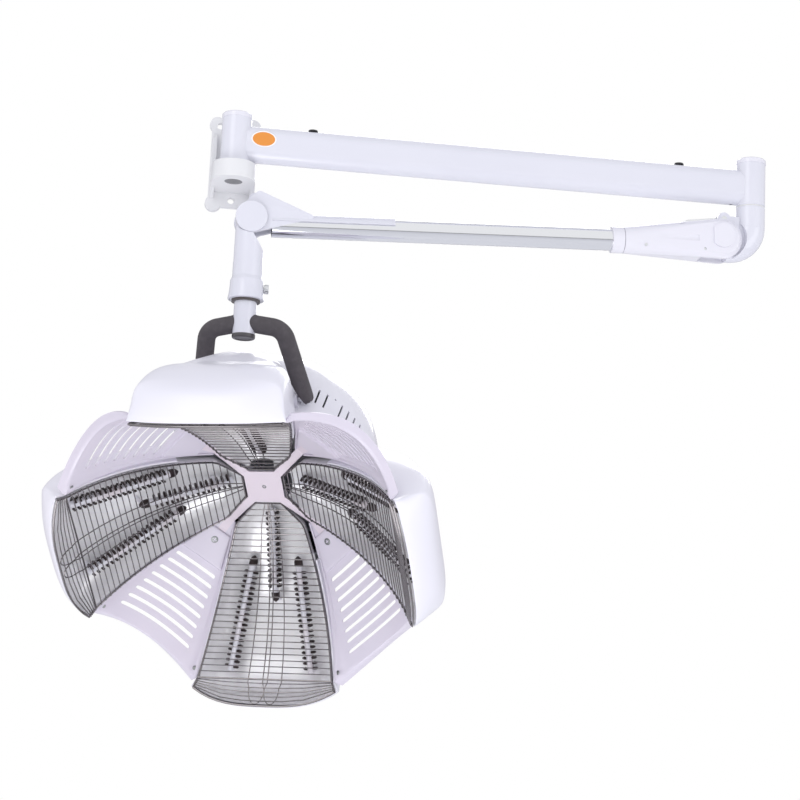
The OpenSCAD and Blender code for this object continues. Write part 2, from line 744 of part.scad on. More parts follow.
module petal(k) in_hood() rotate([0, 0, -90 * k]) children();

// Outer cover of a petal: a deep moulded dish, deepest near the dome
module cover() color(white) shell_between(
    [for (c = cover_law) section(c[0], half_w(c[0]), c[1], c[2], 6)],
    [for (c = cover_law) section(c[0], half_w(c[0]) - cover_wall, c[1] - cover_wall, c[2], 6)]);
module cover_top() petal(0) cover();
module cover_right() petal(1) cover();
module cover_bottom() petal(2) cover();
module cover_left() petal(3) cover();

// Polished trough behind the heating elements, with a flange along both edges
flange_w = 1.4;
function with_edges(s, w, k, middle) = concat(
    [lifted(s, -w - flange_w, k)], middle, [lifted(s, w + flange_w, k)]);
function mirror_front(s, w, h) = let (arc = section(s, w, h, mirror_power, 5))
    concat([lifted(s, -w, -mirror_t)], [for (i = [1 : 9]) arc[i]], [lifted(s, w, -mirror_t)]);
module reflector() color([0.9, 0.9, 0.92]) shell_between(
    [for (c = mirror_law) let (s = c[0], w = mouth_w(s) - mirror_inset)
        with_edges(s, w, 0, section(s, w, c[1], mirror_power, 5))],
    [for (c = mirror_law) let (s = c[0], w = mouth_w(s) - mirror_inset)
        with_edges(s, w, -mirror_t, mirror_front(s, w - mirror_t, c[1] - mirror_t))]);
module reflector_top() petal(0) reflector();
module reflector_right() petal(1) reflector();
module reflector_bottom() petal(2) reflector();
module reflector_left() petal(3) reflector();

// Wire guard over the mouth of a petal
rail_steps = 9;
hub_s = -0.09;
// The straight stretches of rail and reflector bow apart by up to this much
chord_gap = 1;
function wire_point(s, x) = lifted(s, x, -frame_wire_d / 2 - mirror_t - chord_gap);
function rail_x(s) = mouth_w(s) - frame_wire_d / 2 - cover_wall;
module cross_wire(s, d, spans) for (i = [0 : spans - 1])
    bar(wire_point(s, rail_x(s) * (2 * i / spans - 1)),
        wire_point(s, rail_x(s) * (2 * (i + 1) / spans - 1)), d, 6);
module grille() color("silver") {
    rail_s = concat([for (i = [0 : rail_steps]) hub_s + (1 - hub_s) * i / rail_steps],
        [rim_s]);
    for (i = [0 : len(rail_s) - 2], side = [-1, 1]) {
        a = rail_s[i];
        b = rail_s[i + 1];
        bar(wire_point(a, side * rail_x(a)), wire_point(b, side * rail_x(b)),
            frame_wire_d, 6);
        if (b <= 1) bar(wire_point(a, side * 0.3 * half_w(a)),
            wire_point(b, side * 0.3 * half_w(b)), wire_d, 6);
    }
    for (s = [hub_s, 1]) cross_wire(s, frame_wire_d, 1);
    cross_wire(rim_s, frame_wire_d, 4);
    for (i = [1 : main_wires]) cross_wire(hub_s + (1 - hub_s) * i / (main_wires + 1), wire_d, 1);
    for (i = [1 : rim_wires]) cross_wire(1 + (rim_s - 1) * i / (rim_wires + 1), wire_d, 4);
}
module grille_top() petal(0) grille();
module grille_right() petal(1) grille();
module grille_bottom() petal(2) grille();
module grille_left() petal(3) grille();

// A heating element: coil turns on a ceramic core, along +Z, with a ceramic foot at each end
module element(reach) {
    turns = floor((reach - 16) / coil_pitch);
    first = (reach - turns * coil_pitch) / 2;
    rotate_extrude() polygon(concat([[0, 0], [core_d / 2, 0]],
        [for (i = [0 : turns - 1]) let (z = first + i * coil_pitch)
            each [[core_d / 2, z], [coil_d / 2, z + 0.6], [coil_d / 2, z + 2.6],
                [core_d / 2, z + 3.2]]],
        [[core_d / 2, reach], [0, reach]]));
}
module element_between(p, q) {
    run = q - p;
    translate(p) rotate([0, acos(run.z / norm(run)), atan2(run.y, run.x)])
        element(norm(run));
}
// Depth of the reflector's front side at a place on the petal
function mirror_depth(s, x) = let (w = mouth_w(s) - mirror_inset - mirror_t)
    (lookup(s, mirror_law) - mirror_t)
        * pow(1 - pow(abs(x) / w, mirror_power), 1 / mirror_power);
module heater() color([0.3, 0.22, 0.2]) {
    for (side = [-1, 1])
        element_between(lifted(0.26, side * 31, heater_depth),
            lifted(0.92, side * 58, heater_depth));
    element_between(lifted(0.02, 0, heater_depth - 6), lifted(0.54, 0, heater_depth));
    // Ceramic feet between the cores and the reflector
    for (foot = [[0.3, -32.5], [0.3, 32.5], [0.88, -56.5], [0.88, 56.5], [0.08, 0], [0.5, 0]])
        bar(lifted(foot[0], foot[1], heater_depth - (foot[0] < 0.2 ? 6 : 2)),
            lifted(foot[0], foot[1], mirror_depth(foot[0], foot[1]) - 1.5), 6, 24);
}
module heater_top() petal(0) heater();
module heater_right() petal(1) heater();
module heater_bottom() petal(2) heater();
module heater_left() petal(3) heater();

// ---------- gussets ----------

// A gusset is drawn pointing along +Y. Across the corner between two petals every line at
// one height is straight, so the panel is one curved strip, trimmed to the petals' edges.
root2 = sqrt(2);
function gq(s) = (pr(s) + half_w(s)) / root2;
function edge_r(q) = (root2 * q - hub_half + flare * hub_r) / (1 + flare);
function gt(q) = (edge_r(q) * (1 - flare) - hub_half + flare * hub_r) / root2;
// The panel lies below the petals' edges, and meets them at the rim
drop_law = [[0, 13], [0.4, 12], [0.8, 7], [1, 1]];
gusset_side_gap = 0.6;
gusset_low_s = 0.16;

module gusset_strip(low, high, s_end) rotate([90, 0, 90])
    linear_extrude(220, center = true) polygon(concat(
        [for (i = [0 : 14]) let (s = s_end * i / 14)
            [gq(s), pz(s) - lookup(s, drop_law) + low]],
        [for (i = [14 : -1 : 0]) let (s = s_end * i / 14)
            [gq(s), pz(s) - lookup(s, drop_law) + high]]));

// The panel's outline seen along the hood's axis, with its sides moved in by `inset`
function rim_q(v) = gq(1) - rim_hollow * (1 - v * v);
module gusset_outline(inset, rim_in) polygon(concat(
    [[-gt(gq(gusset_low_s)) + inset, gq(gusset_low_s)]],
    [for (i = [-8 : 8]) let (v = i / 8, q = rim_q(v) - rim_in)
        [v * (gt(gq(1)) - inset), q]],
    [[gt(gq(gusset_low_s)) - inset, gq(gusset_low_s)]]));

slot_first = 132;
slot_last = 198;
function slot_edge(q, v, side) = let (reach = gt(q) - 11)
    [v * reach, q - 0.12 * reach * (1 - v * v) + side * slot_w / 2];
module gusset_slots() for (i = [0 : slot_count - 1]) {
    q = slot_first + (slot_last - slot_first) * i / (slot_count - 1);
    polygon(concat([for (j = [-4 : 4]) slot_edge(q, j / 4, -1)],
        [for (j = [4 : -1 : -4]) slot_edge(q, j / 4, 1)]));
}

boss_q = 114;
module gusset() color(lilac) difference() {
    inset = gusset_side_gap;
    union() {
        intersection() {
            gusset_strip(-gusset_t, 0, 1);
            translate([0, 0, -50]) linear_extrude(300) difference() {
                gusset_outline(inset, 0);
                gusset_slots();
            }
        }
        intersection() {
            gusset_strip(-gusset_t, 4, 1);
            translate([0, 0, -50]) linear_extrude(300) difference() {
                gusset_outline(inset, 0);
                gusset_outline(inset + 4, -30);
                translate([-100, rim_q(1) - 14]) square([200, 60]);
            }
        }
        intersection() {
            gusset_strip(-14, 0, 1);
            translate([0, 0, -50]) linear_extrude(300) difference() {
                gusset_outline(inset, 0);
                gusset_outline(inset - 8, 2.5);
                translate([-100, 0]) square([200, rim_q(0) - 30]);
            }
        }
    }
    translate([0, boss_q, -60]) cylinder(d = 5, h = 120);
}
module corner(k) in_hood() rotate([0, 0, -45 - 90 * k]) children();
module gusset_top_right() corner(0) gusset();
module gusset_bottom_right() corner(1) gusset();
module gusset_bottom_left() corner(2) gusset();
module gusset_top_left() corner(3) gusset();

// ---------- rear housing ----------

skirt_top = 22.8;
dome_front = -dome_back + sqrt(dome_r * dome_r - skirt_r * skirt_r);
flat_z = -196;
notch_half = 74;

// What lies between two planes across the hood's axis
module slab(low, high) translate([-200, -200, low]) cube([400, 400, high - low]);

// Ears that the handle's legs are bolted to
ear_in = 59;
module ears() for (s = [0, 1]) mirror([s, 0, 0]) difference() {
    translate([ear_in, tilt_up, -tilt_back]) rotate([90, 0, 90]) linear_extrude(5) {
        circle(d = 20);
        translate([-16, -10]) square([16, 20]);
    }
    translate([0, tilt_up, -tilt_back]) x_cyl(link_pin_d, 200);
}

module rear_dome() color(white) in_hood() difference() {
    union() {
        ears();
        intersection() {
            translate([0, 0, -dome_back]) sphere(r = dome_r, $fn = 96);
            slab(flat_z, dome_front);
        }
        translate([0, 0, dome_front - cut]) cylinder(r = skirt_r, h = skirt_top - dome_front + cut);
    }
    intersection() {
        translate([0, 0, -dome_back]) sphere(r = dome_r - dome_wall, $fn = 96);
        slab(flat_z + dome_wall, dome_front);
    }
    translate([0, 0, dome_front - 2 * cut]) cylinder(r = skirt_r - dome_wall, h = 60);
    for (k = [0 : 3]) rotate([0, 0, 90 * k])
        translate([-notch_half, 90, dome_front + 1]) cube([2 * notch_half, 60, 60]);
    middle = (vent_places - 1) / 2;
    for (side = [-1, 1], i = [0 : vent_places - 1]) {
        turn = -side * (50 + (i - middle) * vent_step);
        if (i == middle - 1) rotate([0, 0, turn]) translate([0, dome_r, -dome_back])
            y_cyl(3, 20);
        else rotate([0, 0, turn]) translate([-vent_w / 2, dome_r - 20, -dome_back])
            cube([vent_w, 30, vent_len]);
    }
}

// Inner spider: a hub block and four bars that run between the petals to the dome's skirt
module hub_frame() color("gainsboro") in_hood() {
    translate([-18, -18, -14]) cube([36, 36, 14]);
    for (k = [0 : 3]) rotate([0, 0, 45 + 90 * k]) intersection() {
        union() {
            translate([20, -4, -14]) cube([120, 8, 9]);
            translate([92, -8, -14]) cube([48, 16, 9]);
        }
        translate([0, 0, -20]) cylinder(r = skirt_r - dome_wall, h = 30);
    }
}

// Cover plate at the hub, with four straps to the gussets' inner ends
strap_w = 12;
strap_s = 1 / 14;
module centre_plate() color([0.9, 0.84, 0.88]) in_hood() {
    low = pz(strap_s) - lookup(strap_s, drop_law);
    translate([-plate_half, -plate_half, 0]) cube([2 * plate_half, 2 * plate_half, 2]);
    for (k = [0 : 3]) rotate([0, 0, -45 - 90 * k]) {
        rotate([90, 0, 90]) translate([0, 0, -strap_w / 2]) linear_extrude(strap_w)
            polygon([[plate_half * root2 - 8, 0], [gq(strap_s), low],
                [gq(strap_s), low + 1.6], [plate_half * root2 - 8, 2]]);
        intersection() {
            gusset_strip(0, 1.6, 1);
            translate([-strap_w / 2, gq(strap_s) - 0.5, -50]) cube([strap_w, 25, 300]);
        }
    }
}

module tilt_bolts() color(steel) in_hood() for (s = [0, 1]) mirror([s, 0, 0])
    translate([0, tilt_up, -tilt_back]) {
        translate([ear_in, 0, 0]) x_cyl(link_pin_d, leg_half - ear_in + 5);
        translate([leg_half + 4.6, 0, 0]) x_cyl(13, 4);
    }

module hood_screws() color(steel) in_hood() {
    translate([0, 0, 2]) cylinder(d = 7, h = 1.6);
    for (k = [0 : 3]) rotate([0, 0, -45 - 90 * k])
        translate([0, boss_q, 4]) cylinder(d = 5, h = 14);
}

// ---------- controls ----------

module rear_face() in_hood() translate([0, 0, flat_z]) rotate([180, 0, 0]) children();
rocker_at = [0, -30, 0];
module control_panel() color([0.82, 0.82, 0.85]) rear_face() difference() {
    rotate_extrude() polygon([[0, 0], [panel_d / 2, 0], [panel_d / 2, 3],
        [panel_d / 2 - 3, 6], [0, 6]]);
    translate(rocker_at + [-rocker_w / 2 - 0.5, -rocker_h / 2 - 0.8, 1])
        cube([rocker_w + 1, rocker_h + 1.6, 10]);
}
module keypad() color([0.25, 0.27, 0.32]) rear_face()
    translate([-30, -14, 6]) cube([60, 42, 0.8]);
module power_rocker() color([0.1, 0.1, 0.1]) rear_face() translate(rocker_at)
    intersection() {
        translate([-rocker_w / 2, 0, -5]) x_cyl(26, rocker_w);
        translate([-rocker_w / 2, -rocker_h / 2, 2]) cube([rocker_w, rocker_h, 20]);
    }
module circuit_board() color("seagreen") in_hood() {
    back = flat_z + dome_wall;
    translate([-45, -35, back + 16]) cube([90, 70, 1.6]);
    for (x = [-38, 38], y = [-28, 28]) translate([x, y, back]) cylinder(d = 6, h = 16);
    translate([-30, -20, back + 17.6]) cube([28, 22, 18]);
    translate([12, -22, back + 17.6]) cube([20, 16, 12]);
    translate([14, 12, back + 17.6]) cylinder(d = 12, h = 22);
}

wall_bracket();
pivot_post();
upper_arm_tube();
inner_barrel();
outer_barrel();
barrel_caps();
arm_bushes();
cable_grommets();
elbow_casting();
elbow_post();
elbow_pins();
level_link();
chrome_tube();
housing_front();
housing_rear();
tube_collar();
pivot_caps();
balance_spring();
spring_seats();
saddle();
housing_screws();
head_column();
head_pins();
column_bush();
thumb_screw();
stem();
stem_plug();
handle_tube();
grip_left();
grip_right();
rear_dome();
hub_frame();
centre_plate();
tilt_bolts();
hood_screws();
cover_top();
cover_right();
cover_bottom();
cover_left();
reflector_top();
reflector_right();
reflector_bottom();
reflector_left();
grille_top();
grille_right();
grille_bottom();
grille_left();
heater_top();
heater_right();
heater_bottom();
heater_left();
gusset_top_right();
gusset_bottom_right();
gusset_bottom_left();
gusset_top_left();
control_panel();
keypad();
power_rocker();
circuit_board();
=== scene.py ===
import math
import bpy
from mathutils import Matrix, Vector


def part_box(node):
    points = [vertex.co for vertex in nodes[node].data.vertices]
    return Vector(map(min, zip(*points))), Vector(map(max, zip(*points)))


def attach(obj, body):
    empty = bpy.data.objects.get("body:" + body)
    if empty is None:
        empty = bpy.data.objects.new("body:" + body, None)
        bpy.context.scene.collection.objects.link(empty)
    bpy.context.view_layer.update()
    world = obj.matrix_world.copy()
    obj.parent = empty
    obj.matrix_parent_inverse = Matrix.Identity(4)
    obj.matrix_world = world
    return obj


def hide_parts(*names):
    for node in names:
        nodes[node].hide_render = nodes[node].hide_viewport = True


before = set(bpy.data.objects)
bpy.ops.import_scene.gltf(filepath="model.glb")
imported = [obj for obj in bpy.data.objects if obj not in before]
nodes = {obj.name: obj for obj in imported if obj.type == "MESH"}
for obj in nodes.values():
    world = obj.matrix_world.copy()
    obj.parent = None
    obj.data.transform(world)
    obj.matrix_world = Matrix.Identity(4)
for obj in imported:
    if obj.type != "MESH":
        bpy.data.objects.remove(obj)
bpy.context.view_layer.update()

# The camera stands below the hood, a little to the left of the wall pivot, and looks up at it.
# It has a long lens and is rolled by a few degrees, so the arms lean a little.
camera_place = Vector((-0.0902, -2.6418, -0.8448))
camera_turn, camera_rise, camera_roll = map(math.radians, (7.27, 11.38, 2.75))
look = Vector((
    math.sin(camera_turn) * math.cos(camera_rise),
    math.cos(camera_turn) * math.cos(camera_rise),
    math.sin(camera_rise),
))
level_right = Vector((math.cos(camera_turn), -math.sin(camera_turn), 0))
level_up = level_right.cross(look)
camera_right = level_right * math.cos(camera_roll) + level_up * math.sin(camera_roll)
camera_up = level_up * math.cos(camera_roll) - level_right * math.sin(camera_roll)
camera_axes = Matrix((camera_right, camera_up, -look)).transposed().to_4x4()
bpy.ops.object.camera_add()
camera = bpy.context.object
camera.matrix_world = Matrix.Translation(camera_place) @ camera_axes
camera.data.sensor_width = 36
camera.data.lens = 90
camera.data.clip_end = 50
bpy.context.scene.camera = camera
bpy.context.scene.view_settings.view_transform = "Standard"

# The studio: a pale floor well under the hood, a white sweep all round, and soft lamps.
# Polished metal sees the sweep too, with a dim card at the camera's height and a grey wall behind.
floor_height = -1.62
bpy.ops.mesh.primitive_plane_add(size=14, location=(0.3, 0, floor_height))
floor = bpy.context.object
floor.name = "studio_floor"
floor_paint = bpy.data.materials.new("studio_floor")
floor_paint.use_nodes = True
floor_shader = floor_paint.node_tree.nodes["Principled BSDF"]
floor_shader.inputs["Base Color"].default_value = (0.86, 0.86, 0.87, 1)
floor_shader.inputs["Roughness"].default_value = 0.7
floor.data.materials.append(floor_paint)

studio = bpy.data.worlds.new("studio")
bpy.context.scene.world = studio
studio.use_nodes = True
studio_nodes, studio_links = studio.node_tree.nodes, studio.node_tree.links
studio_nodes.clear()


def sky(colour, strength):
    background = studio_nodes.new("ShaderNodeBackground")
    background.inputs["Color"].default_value = (*colour, 1)
    background.inputs["Strength"].default_value = strength
    return background


def blend(mask, first, second):
    mix = studio_nodes.new("ShaderNodeMixShader")
    studio_links.new(mask, mix.inputs[0])
    studio_links.new(first.outputs[0], mix.inputs[1])
    studio_links.new(second.outputs[0], mix.inputs[2])
    return mix


def ramp(value, start, end):
    """0 at the start and 1 at the end, also where the end is the lower of the two."""
    step = studio_nodes.new("ShaderNodeMapRange")
    studio_links.new(value, step.inputs["Value"])
    step.inputs["From Min"].default_value = start
    step.inputs["From Max"].default_value = end
    return step.outputs[0]


def both(first, second):
    product = studio_nodes.new("ShaderNodeMath")
    product.operation = "MULTIPLY"
    studio_links.new(first, product.inputs[0])
    studio_links.new(second, product.inputs[1])
    return product.outputs[0]


heading = studio_nodes.new("ShaderNodeSeparateXYZ")
studio_links.new(studio_nodes.new("ShaderNodeTexCoord").outputs["Generated"], heading.inputs[0])
ray = studio_nodes.new("ShaderNodeLightPath")
wall_fade, card_front = (0.1, 0.9), (-0.6, -0.8)
card_under, card_over = (-0.34, -0.26), (-0.1, -0.18)
behind = ramp(heading.outputs["Y"], *wall_fade)
card = both(
    both(ramp(heading.outputs["Z"], *card_under), ramp(heading.outputs["Z"], *card_over)),
    ramp(heading.outputs["Y"], *card_front),
)
mirror_view = blend(behind, sky((1, 1, 1), 1.05), sky((0.80, 0.79, 0.84), 0.65))
mirror_view = blend(card, mirror_view, sky((0.5, 0.5, 0.52), 0.25))
view = blend(ray.outputs["Is Glossy Ray"], sky((0.93, 0.94, 1.0), 0.84), mirror_view)
view = blend(ray.outputs["Is Transmission Ray"], view, sky((1, 1, 1), 1))
view = blend(ray.outputs["Is Camera Ray"], view, sky((1, 1, 1), 1))
studio_links.new(view.outputs[0], studio_nodes.new("ShaderNodeOutputWorld").inputs[0])

for name, place, aim, size, power in (
    ("key_lamp", (-1.6, -2.4, 1.5), (0.2, 0, -0.3), 1.6, 12),
    ("fill_lamp", (2.4, -2.2, -0.2), (0.3, 0, -0.3), 1.8, 13),
    ("low_lamp", (-0.26, -0.85, -1.45), (0.07, 0.07, -0.43), 1.1, 11),
    ("back_lamp", (0.8, 2.4, 1.2), (0.2, 0, -0.3), 1.6, 24),
):
    bpy.ops.object.light_add(type="AREA", location=place)
    lamp = bpy.context.object
    lamp.name = name
    lamp.data.size = size
    lamp.data.energy = power
    lamp.rotation_euler = (Vector(aim) - Vector(place)).to_track_quat("-Z", "Y").to_euler()


# The wall bracket is a cast plate with ribs and a lug, powder coated in a neutral white.
# The coat is satin and faintly pebbled, and a shade darker in soft patches.
class Value:
    """A number that varies over a surface: sums and products of it add their own nodes."""

    def __init__(self, finish, socket):
        self.finish, self.socket = finish, socket

    def _join(self, operation, other):
        return self.finish.add("Math", {"operation": operation}, {0: self, 1: other})

    def __add__(self, other):
        return self._join("ADD", other)

    def __mul__(self, other):
        return self._join("MULTIPLY", other)

    def above(self, edge, width):
        """0 below the edge, 1 past edge + width, and a ramp between."""
        limits = {"Value": self, "From Min": edge, "From Max": edge + width}
        return self.finish.add("MapRange", {"clamp": True}, limits, "Result")


class Finish:
    """A material whose nodes are added one call at a time."""

    coat_roughness = 0.08
    # The Mix node's colour sockets share their names with its number sockets.
    mix_first, mix_second, mix_result = 6, 7, 2

    def __init__(self, name, colour, roughness, metallic=0.0, coat=0.0):
        self.material = bpy.data.materials.new(name)
        self.material.use_nodes = True
        self.tree = self.material.node_tree
        self.shader = self.tree.nodes["Principled BSDF"]
        self.colour = (*colour, 1)
        for key, value in (
            ("Base Color", self.colour), ("Roughness", roughness), ("Metallic", metallic),
            ("Coat Weight", coat), ("Coat Roughness", self.coat_roughness),
        ):
            self.shader.inputs[key].default_value = value
        self.place = self.add("TexCoord", {}, {}, "Object")

    def link(self, socket, value):
        if isinstance(value, Value):
            self.tree.links.new(value.socket, socket)
        else:
            socket.default_value = value

    def add(self, kind, settings, values, output=0):
        node = self.tree.nodes.new("ShaderNode" + kind)
        for key, setting in settings.items():
            setattr(node, key, setting)
        for key, value in values.items():
            self.link(node.inputs[key], value)
        return Value(self, node.outputs[output])

    def noise(self, scale, detail):
        return self.add("TexNoise", {}, {"Vector": self.place, "Scale": scale, "Detail": detail}, "Fac")

    def cells(self, scale):
        return self.add("TexVoronoi", {}, {"Vector": self.place, "Scale": scale}, "Distance")

    def tint(self, mask, other):
        """Base colour towards another colour where the mask is 1."""
        before = self.shader.inputs["Base Color"]
        base = Value(self, before.links[0].from_socket) if before.links else self.colour
        colours = {"Factor": mask, self.mix_first: base, self.mix_second: (*other, 1)}
        self.link(before, self.add("Mix", {"data_type": "RGBA"}, colours, self.mix_result))

    def rough(self, value):
        self.link(self.shader.inputs["Roughness"], value)

    def bump(self, height, distance, strength=1.0):
        relief = {"Height": height, "Distance": distance, "Strength": strength}
        self.link(self.shader.inputs["Normal"], self.add("Bump", {}, relief, "Normal"))

    def dress(self, *names):
        """Puts the finish on CAD nodes."""
        for name in names:
            nodes[name].data.materials.clear()
            nodes[name].data.materials.append(self.material)


powder = Finish("bracket_powder_coat", (0.80, 0.80, 0.81), 0.38)
powder_grain = powder.noise(900, 1)
powder.tint(powder.noise(14, 3).above(0.45, 0.4) * 0.35, (0.70, 0.70, 0.71))
powder.rough(powder_grain * 0.14 + 0.3)
powder.bump(powder_grain, 0.00006)
powder.dress("wall_bracket")

# The wall's and the elbow's pivot posts are turned from bar steel and held in the bracket's lug
# and in the elbow's casting. They are bare, with a fine, uneven polish.
turned = Finish("turned_steel", (0.30, 0.30, 0.31), 0.38, 1.0)
turned_grain = turned.noise(420, 2)
turned.tint(turned.noise(60, 3).above(0.5, 0.3) * 0.5, (0.18, 0.17, 0.17))
turned.rough(turned_grain * 0.3 + 0.25)
turned.dress("pivot_post", "elbow_post")

# The upper arm is a flat-oval steel tube welded between two upright barrels, sprayed in a
# gloss white enamel that has a faint orange peel. The elbow's casting, the head column, the
# saddle and the stem have the same enamel.
enamel = Finish("arm_enamel", (0.74, 0.74, 0.81), 0.2, coat=0.5)
enamel_peel = enamel.noise(260, 1)
enamel.tint(enamel.noise(6, 2).above(0.4, 0.5) * 0.4, (0.80, 0.80, 0.86))
enamel.rough(enamel.noise(40, 3) * 0.12 + 0.16)
enamel.bump(enamel_peel, 0.00005)
enamel.dress("upper_arm_tube", "inner_barrel", "outer_barrel", "elbow_casting")
enamel.dress("head_column", "saddle", "stem")

# The barrel caps, the lower arm's housing halves, its collar and pivot caps, the hood's dome
# and its inner frame are gloss mouldings, a little lighter than the enamel.
moulded = Finish("white_moulding", (0.80, 0.79, 0.85), 0.24, coat=0.35)
moulded.tint(moulded.noise(5, 2).above(0.42, 0.4) * 0.4, (0.82, 0.81, 0.89))
moulded.rough(moulded.noise(300, 2) * 0.08 + 0.2)
moulded.bump(moulded.noise(700, 1), 0.00003)
moulded.dress("barrel_caps", "housing_front", "housing_rear", "tube_collar", "pivot_caps")
moulded.dress("rear_dome", "hub_frame")

# Flanged acetal bushes line the barrels and turn on the posts. Black rubber grommets are pushed
# into the arm's two cable holes.
acetal = Finish("bush_acetal", (0.78, 0.78, 0.77), 0.45)
acetal.rough(acetal.noise(200, 2) * 0.2 + 0.36)
acetal.dress("arm_bushes")

black_rubber = Finish("grommet_rubber", (0.025, 0.025, 0.027), 0.6)
black_rubber.rough(black_rubber.noise(300, 3) * 0.25 + 0.45)
black_rubber.bump(black_rubber.noise(500, 2), 0.00008)
black_rubber.dress("cable_grommets")

# The levelling link, pins, screws, bolts and the handle's hidden tube are zinc-plated steel:
# bright, with a fine grain and the faint bloom that plating takes on.
zinc = Finish("zinc_plate", (0.66, 0.67, 0.69), 0.3, 1.0)
zinc.tint(zinc.noise(90, 3).above(0.5, 0.25) * 0.4, (0.52, 0.52, 0.53))
zinc.rough(zinc.noise(350, 3) * 0.25 + 0.2)
zinc.dress("elbow_pins", "level_link", "housing_screws", "head_pins", "thumb_screw")
zinc.dress("tilt_bolts", "handle_tube")

# The lower arm's tube is drawn steel, polished and chrome plated. The balance spring inside it
# and the spring's two seats are bare, darker steel.
chrome = Finish("tube_chrome", (0.74, 0.75, 0.78), 0.06, 1.0)
chrome.rough(chrome.noise(30, 4) * 0.05 + 0.035)
chrome.dress("chrome_tube")

spring_wire = Finish("spring_wire", (0.28, 0.28, 0.29), 0.4, 1.0)
spring_wire.rough(spring_wire.noise(300, 2) * 0.3 + 0.25)
spring_wire.dress("balance_spring", "spring_seats")

# The foam grips are sleeves of closed-cell foam, pulled over the bent handle tube: dark grey,
# dull, and pitted all over with fine cells. They close on the stem and hide the leg joints.
foam = Finish("grip_foam", (0.085, 0.076, 0.083), 0.88)
foam.tint(foam.noise(120, 3).above(0.45, 0.3) * 0.6, (0.115, 0.104, 0.112))
foam.rough(foam.noise(400, 2) * 0.12 + 0.8)
foam.bump(foam.cells(900), 0.0003, 0.7)
smooth_below = math.radians(35)


def pick(*pieces):
    """Selects these pieces alone and makes the first one active."""
    bpy.ops.object.select_all(action="DESELECT")
    for piece in pieces:
        piece.select_set(True)
    bpy.context.view_layer.objects.active = pieces[0]


def lay_down(piece):
    """Lays a piece's modifiers down in its mesh."""
    pick(piece)
    for modifier in list(piece.modifiers):
        bpy.ops.object.modifier_apply(modifier=modifier.name)


def settle(piece, body, slot, finish, *cad_nodes):
    """Lays the modifiers down in the mesh, shades the piece and hangs it on its body."""
    pick(piece)
    bpy.ops.object.transform_apply(location=True, rotation=True, scale=True)
    lay_down(piece)
    bpy.ops.object.mode_set(mode="EDIT")
    bpy.ops.mesh.select_all(action="SELECT")
    bpy.ops.mesh.normals_make_consistent(inside=False)
    bpy.ops.object.mode_set(mode="OBJECT")
    bpy.ops.object.shade_smooth_by_angle(angle=smooth_below)
    if finish:
        piece.data.materials.clear()
        piece.data.materials.append(finish.material)
    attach(piece, body)
    if cad_nodes:
        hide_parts(*cad_nodes)


def wire_curve(name, thickness, rings=1):
    data = bpy.data.curves.new(name, "CURVE")
    data.dimensions = "3D"
    data.bevel_depth = thickness / 2
    data.bevel_resolution = rings
    data.use_fill_caps = True
    piece = bpy.data.objects.new(name, data)
    bpy.context.collection.objects.link(piece)
    return piece


def run_wire(piece, points, widths=None):
    spline = piece.data.splines.new("POLY")
    spline.points.add(len(points) - 1)
    for index, (point, place) in enumerate(zip(spline.points, points)):
        point.co = (*place, 1)
        point.radius = widths[index] if widths else 1.0


def as_mesh(*pieces):
    """Turns curves into one mesh and returns it."""
    pick(*pieces)
    bpy.ops.object.convert(target="MESH")
    if len(pieces) > 1:
        bpy.ops.object.join()
    return bpy.context.object


swivel, slant = math.radians(20), math.radians(33.2)
stem_axis = Vector((0.0266625, -0.062, -0.232265))
handle_place = (
    Matrix.Translation(stem_axis) @ Matrix.Rotation(-swivel, 4, "Z") @ Matrix.Rotation(slant, 4, "X")
)
grip_radius, grip_rings, stem_radius, stem_side = 0.012, 12, 0.0153, 0.03
handle_bend, bend_steps, grip_past_leg = 0.022, 10, 0.006
grip_starts = (0.0095, 0.016, 0.023)
grip_ends = (0.040, 0.030, 0.022, 0.014, 0.008, 0.004, 0.0015, 0.0003, 0)
end_widths = [0.985, 0.93, 0.80, 0.62, 0.3]
bar_corner, leg_end = Vector((0.0520809, 0, -0.0091833)), Vector((0.073, 0, -0.1076))
bar_way, leg_way = bar_corner.normalized(), (leg_end - bar_corner).normalized()
bend_angle = bar_way.angle(leg_way)
bend_cut = handle_bend * math.tan(bend_angle / 2)
bend_centre = bar_corner - bar_way * bend_cut + Vector((bar_way.z, 0, -bar_way.x)) * handle_bend
bend_start = bar_corner - bar_way * bend_cut - bend_centre
bend_turns = [Matrix.Rotation(bend_angle * i / bend_steps, 3, "Y") for i in range(bend_steps + 1)]
grip_end = leg_end + leg_way * grip_past_leg
grip_line = [bar_way * d for d in grip_starts]
grip_line += [bend_centre + turn @ bend_start for turn in bend_turns]
grip_line += [grip_end - leg_way * d for d in grip_ends]
grip_widths = [1.0] * (len(grip_line) - len(end_widths)) + end_widths
# Below ear_top a leaning flat keeps each sleeve clear of the dome's ears.
ear_top, ear_clear, ear_lean = -0.088, 0.0582, 0.7
for side, name in ((1, "grip_right"), (-1, "grip_left")):
    sleeve = wire_curve(name + "_fine", 2 * grip_radius, grip_rings)
    run_wire(sleeve, grip_line, grip_widths)
    sleeve = as_mesh(sleeve)
    for v in sleeve.data.vertices:
        if v.co.z < ear_top:
            v.co.x = max(v.co.x, ear_clear + ear_lean * (ear_top - v.co.z))
        flat = Vector((v.co.x, v.co.y * math.cos(slant) - v.co.z * math.sin(slant)))
        if flat.length < stem_radius and v.co.x < stem_side:
            v.co.x += math.sqrt(stem_radius ** 2 - flat.y ** 2) - flat.x
    sleeve.data.transform(handle_place @ Matrix.Diagonal((side, 1, 1, 1)))
    settle(sleeve, "handle", "grip_foam", foam, name)

